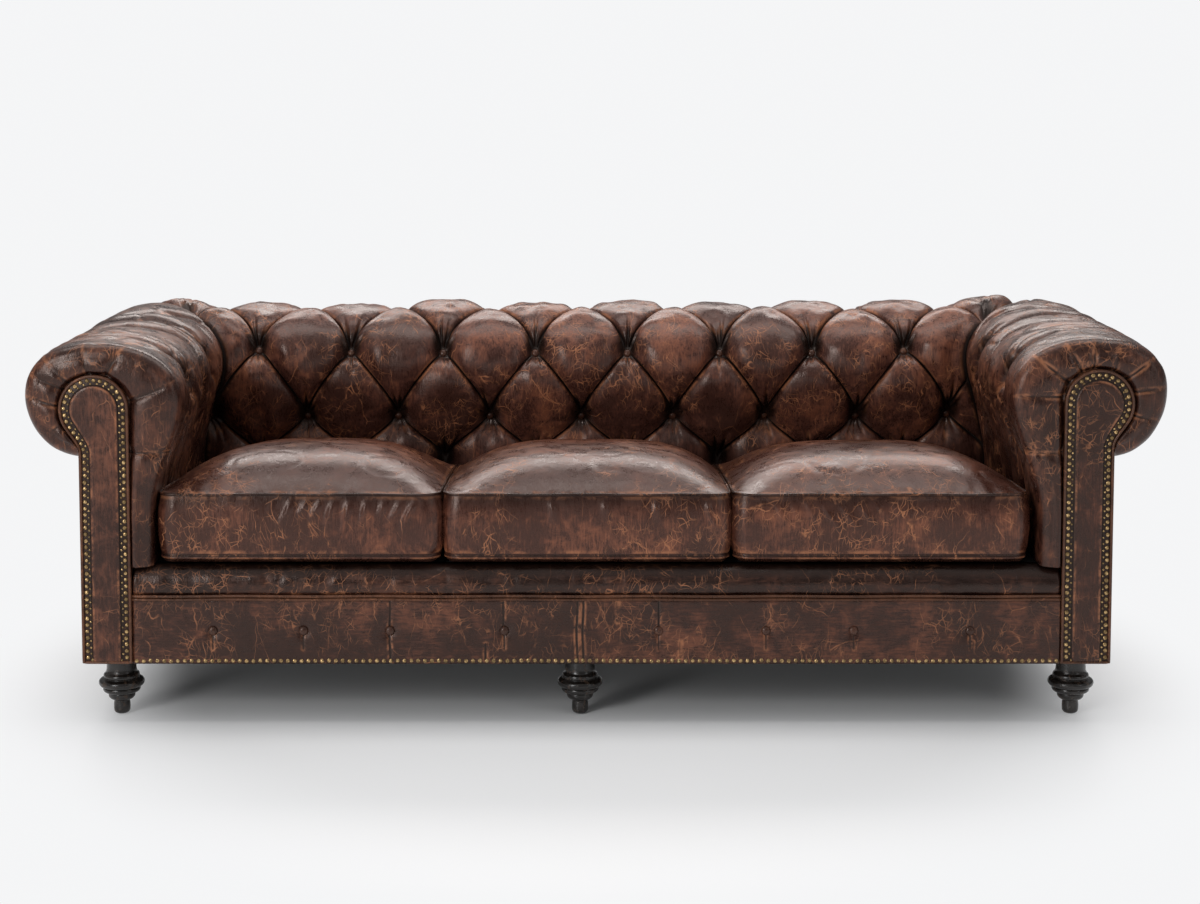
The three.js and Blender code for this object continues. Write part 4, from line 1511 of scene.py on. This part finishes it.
def plan_point(u, v, half, corner):
    """Maps u, v from -1 to 1 onto a rectangle with rounded corners."""
    x, y = u * half[0], v * half[1]
    a = np.clip((np.abs(x) - (half[0] - corner)) / corner, 0, 1)
    b = np.clip((np.abs(y) - (half[1] - corner)) / corner, 0, 1)
    in_corner = (a > 0) & (b > 0)
    round_x = np.sign(x) * (half[0] - corner + corner * a * np.sqrt(1 - b * b / 2))
    round_y = np.sign(y) * (half[1] - corner + corner * b * np.sqrt(1 - a * a / 2))
    return np.where(in_corner, round_x, x), np.where(in_corner, round_y, y)


def cushion_top(settings, x, y, u, v, slack, seed):
    """Height of the top over its seam, with sat-in hollows and pulls towards the seams."""
    rim = np.minimum(1 - np.abs(u), 1 - np.abs(v))
    crown = settings.crown * (1 - np.abs(u) ** 3.4) * (1 - np.abs(v) ** 4.0)
    place = np.stack([x, y, np.zeros(x.shape)], axis=-1)
    sag = 0.0045 * value_noise(place, 3.4, seed) + 0.0016 * value_noise(place, 11.0, seed + 1)
    crease = 1 - smooth_step(np.abs(value_noise(place * (1.0, 1.6, 1), 8.5, seed + 2)), 0.0, 0.10)
    near_seam = smooth_step(rim, 0.0, 0.02) * (1 - smooth_step(rim, 0.02, 0.16))
    pulls = np.sin(x * 150 + 6 * value_noise(place, 6.0, seed + 3)) * near_seam
    fade = smooth_step(rim, 0.0, 0.12)
    return crown + slack * (sag * fade - 0.0011 * crease * fade + 0.0008 * pulls)


# Drag folds under the upper seam of a cushion's front: first and last X, how many, and lean.
DRAG_FOLDS = {"left": (-0.62, -0.37, 9, -0.35), "middle": (-0.12, 0.2, 4, 0.2), "right": (0.36, 0.60, 8, 0.5)}


def drag_folds(name, x, up, seam):
    """Ridges, short and slanted, where the hide is dragged down from the seam."""
    first, last, count, lean = DRAG_FOLDS[name]
    total = np.zeros(x.shape)
    for number in range(count):
        chance = math.sin(number * 37.7 + first * 100)
        start = first + (last - first) * (number + 0.4 * chance) / (count - 1)
        drop = seam - up
        gap = x - start - lean * drop - 0.004 * np.sin(drop * 60 + number)
        length = 0.055 + 0.022 * math.sin(number * 11.3)
        along = smooth_step(drop, 0.008, 0.028) * (1 - smooth_step(drop, 0.6 * length, length + 0.02))
        total += (0.7 + 0.3 * chance) * along * np.exp(-((gap / 0.0055) ** 2))
    return total


def cushion_side(settings, name, around, x, up, front, slack, seed):
    """How far the boxing bulges, with drag folds on its front."""
    share = (up - settings.foot) / (settings.seam - settings.foot)
    bulge = 0.0088 * np.sin(math.pi * np.clip(share, 0, 1)) ** 0.7
    place = np.stack([around, np.zeros(around.shape), up], axis=-1)
    slow = 0.0030 * value_noise(place, 7.0, seed + 4)
    slow = slow + 0.0009 * value_noise(place * (1, 1, 0.6), 30.0, seed + 5)
    fade = smooth_step(np.minimum(share, 1 - share), 0.0, 0.12)
    folds = np.where(front, 0.0060 * drag_folds(name, x, up, settings.seam), 0.0)
    return bulge + slack * slow * fade + folds


def seam_outline(points):
    """A cushion's upper seam: its points, which way is outward at each, and how far round it is."""
    ahead = np.roll(points, -1, axis=0) - np.roll(points, 1, axis=0)
    outward = np.stack([ahead[:, 1], -ahead[:, 0]], axis=1)
    outward /= np.linalg.norm(outward, axis=1)[:, None]
    around = np.concatenate([[0], np.cumsum(np.linalg.norm(np.diff(points[:, :2], axis=0), axis=1))])
    return points, outward, around


def boxing(settings, shell, name, outline, slack, seed):
    """The upright band between a cushion's two seams, tucked in under the lower one."""
    points, outward, around = outline
    front = outward[:, 1] < -0.8
    # The rows close under the upper seam and over the lower one draw a dark line of painted shade along each
    # seam.
    fall = np.concatenate([[0.008, 0.018], np.linspace(0, 1, 26)[1:-1], [0.982, 0.992, 1.0, 1.024, 1.06]])
    rows, nearest = [], []
    for share in fall:
        up = settings.seam + (settings.foot - settings.seam) * share
        level = points[:, 2] + (settings.foot - points[:, 2]) * share
        out = cushion_side(settings, name, around, points[:, 0], np.full(len(level), up), front, slack, seed)
        if share > 0.999:
            out = np.full(len(level), 0.002 if share > 1 else -0.0035)
        row = np.column_stack([points[:, :2] + outward * out[:, None], level])
        row[:, 1] = np.maximum(row[:, 1], FRONT_Y - 0.004)
        rows.append(row)
        nearest.append(0.65 * min(share, abs(1 - share)) * (settings.seam - settings.foot))
    # Painted shade under the upper seam and towards the lower one; the lit middle is rubbed lighter, as wear
    # and in part a painted highlight.
    lit = 0.30 + 0.70 * smooth_step(fall, 0.06, 0.5) * (1 - 0.7 * smooth_step(fall, 0.86, 1.0))
    return shell.grid(np.array(rows), np.array(nearest)[:, None], lit[:, None], loop=True)


def cushion_piping(settings, name, outline, seed):
    """The cords along a cushion's upper and lower seams."""
    points, outward, around = outline
    pipes = Shell()
    for height, out in ((points[:, 2], 0.0014), (np.full(len(points), settings.foot), -0.0010)):
        path = np.column_stack([points[:, :2] + outward * out, height + 0.0008 * np.sin(around * 31 + seed)])
        tube(pipes, path, 0.0027, sides=8, closed=True)
    return fix(pipes.make(f"cushion_piping_{name}", material_for("cushion_piping")), "cushion_leather")


def cushion(settings, name, span, slack, seed):
    """One boxed cushion with its piping, as wide as its span of X."""
    shell = Shell()
    half = ((span[1] - span[0]) / 2, (settings.rear - settings.front) / 2)
    middle = ((span[1] + span[0]) / 2, (settings.rear + settings.front) / 2)
    counts = [round(2 * half[0] / settings.across), round(2 * half[1] / settings.back)]
    u, v = np.meshgrid(2 * clustered(counts[0], 0.35) - 1, 2 * clustered(counts[1], 0.35) - 1)
    x, y = plan_point(u, v, half, settings.corner)
    x, y = x + middle[0], y + middle[1]
    settle = settings.settle * ((1 + v) / 2) ** 1.3
    over = cushion_top(settings, x, y, u, v, slack, seed)
    rim = np.minimum((1 - np.abs(u)) * half[0], (1 - np.abs(v)) * half[1])
    # The top's rise grows with its crown: a little painted shade towards the seam, and the crown rubbed
    # lighter, as wear and in part a painted highlight.
    top = shell.grid(
        np.stack([x, y, settings.seam - settle + over], axis=-1),
        np.maximum(rim, 0.0035), 0.45 + 0.55 * smooth_step(over, 0.02, settings.crown),
    )
    low = SEAT_Z + 0.003 + 0.014 * (1 - puff(np.minimum(1 - np.abs(u), 1 - np.abs(v)), 0.12))
    # Painted shade over the underside.
    bottom = shell.grid(np.stack([x, y, low], axis=-1), FAR, 0.2)
    upper, lower = ring_of(top), ring_of(bottom)
    outline = seam_outline(shell.place(upper))
    side = boxing(settings, shell, name, outline, slack, seed)
    join_rings(shell, upper, side[0])
    join_rings(shell, side[-1], lower)
    piece = shell.make(f"seat_cushion_leather_{name}", material_for("cushion"), merge=1e-5)
    cushion_piping(settings, name, outline, seed)
    return fix(piece, "cushion_leather", f"seat_cushion_{name}", fill=0.65)


class SOFA_OT_cushions(Operator):
    """Builds the three loose boxed cushions"""

    bl_idname = "sofa.cushions"
    bl_label = "Seat cushions"

    def execute(self, context):
        settings = context.scene.sofa_cushions
        for number, (name, span) in enumerate(CUSHIONS.items()):
            cushion(settings, name, (span[0] + 0.0025, span[1] - 0.0025), SLACK[name], 71 + 10 * number)
        return {"FINISHED"}


# ------------------------------------------------------------------ feet and the frame's finishes

FOOT_X = 0.968
FOOT_Y = {"front": -0.385, "rear": 0.285}
FOOT_COLUMNS = {"left": -FOOT_X, "centre": CENTRE_X, "right": FOOT_X}
# Half-section of a foot from its tip up, as curves through points of (radius, height).
FOOT_TURNING = (
    ((0.0, 0.0), (0.010, 0.0), (0.0145, 0.002), (0.016, 0.007)),
    ((0.016, 0.007), (0.0172, 0.014), (0.0165, 0.024), (0.0152, 0.029)),
    ((0.0152, 0.029), (0.0195, 0.030), (0.0235, 0.031), (0.0262, 0.036)),
    ((0.0262, 0.036), (0.0275, 0.040), (0.0268, 0.043), (0.0262, 0.0445)),
    ((0.0262, 0.0445), (0.033, 0.0445), (0.0372, 0.0475), (0.0378, 0.0515)),
    ((0.0378, 0.0515), (0.0380, 0.0545), (0.0365, 0.0565), (0.0358, 0.0570)),
    ((0.0358, 0.0570), (0.0430, 0.0565), (0.0464, 0.0625), (0.0462, 0.0670)),
    ((0.0462, 0.0670), (0.0455, 0.0725), (0.0400, 0.0745), (0.0352, 0.0750)),
    ((0.0352, 0.0750), (0.0372, 0.0775), (0.0372, 0.0830), (0.0340, 0.0850)),
    ((0.0340, 0.0850), (0.0300, 0.0880), (0.0292, 0.0940), (0.0300, 0.1175)),
)


class SOFA_OT_feet(Operator):
    """Builds the six turned feet"""

    bl_idname = "sofa.feet"
    bl_label = "Feet"

    def execute(self, context):
        runs = [bezier(*run, count=8) for run in FOOT_TURNING]
        profile = np.concatenate([runs[0]] + [run[1:] for run in runs[1:]])
        turn = np.linspace(0, 2 * math.pi, 48, endpoint=False)
        for row, y in FOOT_Y.items():
            for column, x in FOOT_COLUMNS.items():
                shell = Shell()
                rings = [
                    np.column_stack([x + reach * np.cos(turn), y + reach * np.sin(turn), np.full(48, up)])
                    for reach, up in profile[1:]
                ]
                index = shell.grid(np.array(rings), loop=True)
                shell.face(index[0])
                shell.face(index[-1][::-1])
                piece = shell.make(f"foot_turned_{row}_{column}", material_for("ebonised"))
                fix(piece, "ebonised_wood", f"foot_{row}_{column}")
        return {"FINISHED"}


# How the names of the frame's nodes start, with the material that they get and a slot that is not used.
FRAME_FINISHES = (
    ("foot_bolt", "zinc", "zinc_steel"),
    ("seat_spring", "steel", "spring_steel"),
    ("back_hessian", "jute", "jute"),
    ("arm_hessian", "jute", "jute"),
    ("dust_cover", "black_cloth", "black_cloth"),
    ("seat_deck", "black_cloth", "black_cloth"),
    ("foot_block", "beech", "beech"),
    ("front_", "beech", "beech"),
    ("rear_", "beech", "beech"),
    ("centre_", "beech", "beech"),
    ("back_", "beech", "beech"),
    ("side_", "beech", "beech"),
    ("arm_", "beech", "beech"),
)


class SOFA_OT_frame(Operator):
    """Gives the timber, springs and cloths inside their finishes"""

    bl_idname = "sofa.frame"
    bl_label = "Inside frame"

    def execute(self, context):
        for name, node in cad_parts.items():
            if node.hide_render:
                continue
            for start, key, slot in FRAME_FINISHES:
                if name.startswith(start):
                    node.data.materials.clear()
                    node.data.materials.append(material_for(key))
                    break
        return {"FINISHED"}


# ------------------------------------------------------------------ stage

class SOFA_PG_stage(PropertyGroup):
    lens: FloatProperty(name="Lens", description="Focal length", default=68.15, unit="CAMERA")
    pitch: FloatProperty(
        name="Pitch", description="How far the camera looks down", default=math.radians(5), subtype="ANGLE"
    )
    distance: length_setting("Distance", "From the front of the arms to the camera", 4.472)
    height: length_setting("Eye height", "Height of the camera", 1.3494)
    side: length_setting("Sideways", "Camera's place along X", -0.0311)
    shift_up: FloatProperty(name="Vertical shift", description="Lens shift, in widths", default=-0.1696)
    shift_across: FloatProperty(name="Sideways shift", description="Lens shift, in widths", default=0.0159)
    backdrop: FloatProperty(name="Backdrop", description="Brightness of the far background", default=0.925)
    zenith: FloatProperty(name="Zenith", description="Soft light from straight above", default=0.62)
    horizon: FloatProperty(name="Horizon", description="Soft light from all round", default=0.18)
    behind: FloatProperty(name="Rear light", description="Watts of the softbox behind", default=98.0)
    overhead: FloatProperty(name="Overhead light", description="Watts of the softbox above", default=60.0)
    frontal: FloatProperty(name="Main light", description="Watts of the softbox at the left", default=112.0)
    fill: FloatProperty(name="Fill light", description="Watts of the softbox at the right", default=13.0)


STUDIO_WHITE = (0.985, 0.99, 1.0, 1)


def area_light(name, place, target, size, watts, tone=(1.0, 1.0, 1.0)):
    data = bpy.data.lights.new(name, "AREA")
    data.shape = "RECTANGLE"
    data.size, data.size_y = size
    data.energy = watts
    data.color = tone
    lamp = bpy.data.objects.new(name, data)
    lamp.location = place
    lamp.rotation_euler = (Vector(target) - Vector(place)).to_track_quat("-Z", "Y").to_euler()
    bpy.context.scene.collection.objects.link(lamp)
    return lamp


def floor_material(backdrop):
    """A pale, faintly shiny floor that fades into the backdrop far from the sofa."""
    material, tree, surface = new_material("floor")
    surface.inputs["Base Color"].default_value = (0.89, 0.895, 0.90, 1)
    surface.inputs["Roughness"].default_value = 0.32
    surface.inputs["Specular IOR Level"].default_value = 0.35
    # The floor turns into the even glow from 0.95 m out, nearer at the sides, where the glow paints light
    # over the sofa's shadow beside it.
    oval = stretched(tree, object_place(tree), (1.12, 1.0, 1.0), (0.0, 0.0, 0.0))
    away = vector_node(tree, "LENGTH", {0: oval}, "Value")
    glow = add_node(tree, "ShaderNodeEmission", {"Color": STUDIO_WHITE, "Strength": backdrop}).outputs[0]
    inputs = {0: ramp(tree, away, 0.95, 1.55), 1: surface.outputs[0], 2: glow}
    mixed = add_node(tree, "ShaderNodeMixShader", inputs)
    tree.links.new(mixed.outputs[0], tree.nodes["Material Output"].inputs["Surface"])
    return material


def studio_world(settings):
    """White behind the sofa; as light, bright overhead and dim all round."""
    world = bpy.data.worlds.new("studio")
    world.use_nodes = True
    tree = world.node_tree
    ahead = add_node(tree, "ShaderNodeTexCoord").outputs["Generated"]
    up = add_node(tree, "ShaderNodeSeparateXYZ", {0: ahead}).outputs["Z"]
    sky = ramp(tree, up, 0.15, 0.95, settings.horizon, settings.zenith)
    seen = add_node(tree, "ShaderNodeLightPath").outputs["Is Camera Ray"]
    strength = add_node(tree, "ShaderNodeMix", {0: seen, 2: sky, 3: settings.backdrop}).outputs[0]
    tree.nodes["Background"].inputs["Color"].default_value = STUDIO_WHITE
    tree.links.new(strength, tree.nodes["Background"].inputs["Strength"])
    return world


class SOFA_OT_stage(Operator):
    """Sets up the floor, the soft studio light and the camera"""

    bl_idname = "sofa.stage"
    bl_label = "Stage"

    def execute(self, context):
        settings = context.scene.sofa_stage
        mesh = bpy.data.meshes.new("floor")
        mesh.from_pydata([(-30, -30, 0), (30, -30, 0), (30, 30, 0), (-30, 30, 0)], [], [(0, 1, 2, 3)])
        floor = bpy.data.objects.new("floor", mesh)
        mesh.materials.append(floor_material(settings.backdrop))
        context.scene.collection.objects.link(floor)
        context.scene.world = studio_world(settings)
        area_light("behind", (0.0, 3.4, 3.2), (0, 0, 0.6), (5.0, 1.3), settings.behind, (1.0, 0.93, 0.89))
        area_light("overhead", (0.0, -0.1, 3.3), (0, -0.1, 0.0), (5.2, 1.2), settings.overhead)
        area_light("frontal", (-3.3, -4.6, 2.2), (0, -0.2, 0.4), (1.4, 2.6), settings.frontal)
        area_light("fill", (3.8, -3.6, 2.2), (0, -0.2, 0.3), (1.0, 2.4), settings.fill)
        data = bpy.data.cameras.new("camera")
        data.sensor_width = 36
        data.lens = settings.lens
        data.shift_x = settings.shift_across
        data.shift_y = settings.shift_up
        data.clip_end = 100
        camera = bpy.data.objects.new("camera", data)
        camera.location = (settings.side, FRONT_Y - settings.distance, settings.height)
        camera.rotation_euler = (math.pi / 2 - settings.pitch, 0, 0)
        context.scene.collection.objects.link(camera)
        context.scene.camera = camera
        context.scene.view_settings.view_transform = "Standard"
        return {"FINISHED"}


# ------------------------------------------------------------------ add-on

PIECES = (
    ("sofa.inside_back", "Inside back"),
    ("sofa.arms", "Arms"),
    ("sofa.facings", "Arm facings"),
    ("sofa.front", "Front lip and border"),
    ("sofa.outside", "Outside panels"),
    ("sofa.cushions", "Seat cushions"),
    ("sofa.feet", "Feet"),
    ("sofa.frame", "Inside frame"),
    ("sofa.stage", "Stage"),
)


class SOFA_PT_sidebar(Panel):
    """Lists the pieces of the sofa"""

    bl_idname = "SOFA_PT_sidebar"
    bl_label = "Worn leather sofa"
    bl_space_type = "VIEW_3D"
    bl_region_type = "UI"
    bl_category = "Sofa"

    def draw(self, context):
        for operator, label in PIECES:
            self.layout.operator(operator, text=label)


SETTINGS = (
    ("sofa_colours", SOFA_PG_colours),
    ("sofa_buttoning", SOFA_PG_buttoning),
    ("sofa_arms", SOFA_PG_arms),
    ("sofa_trim", SOFA_PG_trim),
    ("sofa_cushions", SOFA_PG_cushions),
    ("sofa_stage", SOFA_PG_stage),
)

OPERATORS = (
    SOFA_OT_inside_back,
    SOFA_OT_arms,
    SOFA_OT_facings,
    SOFA_OT_front,
    SOFA_OT_outside,
    SOFA_OT_cushions,
    SOFA_OT_feet,
    SOFA_OT_frame,
    SOFA_OT_stage,
)


def register():
    for name, group in SETTINGS:
        bpy.utils.register_class(group)
        setattr(bpy.types.Scene, name, PointerProperty(type=group))
    for one in (*OPERATORS, SOFA_PT_sidebar):
        bpy.utils.register_class(one)


def unregister():
    for one in (SOFA_PT_sidebar, *reversed(OPERATORS)):
        bpy.utils.unregister_class(one)
    for name, group in reversed(SETTINGS):
        delattr(bpy.types.Scene, name)
        bpy.utils.unregister_class(group)


def main():
    register()
    for operator, _ in PIECES:
        group, name = operator.split(".")
        getattr(getattr(bpy.ops, group), name)()


if __name__ == "__main__":
    main()
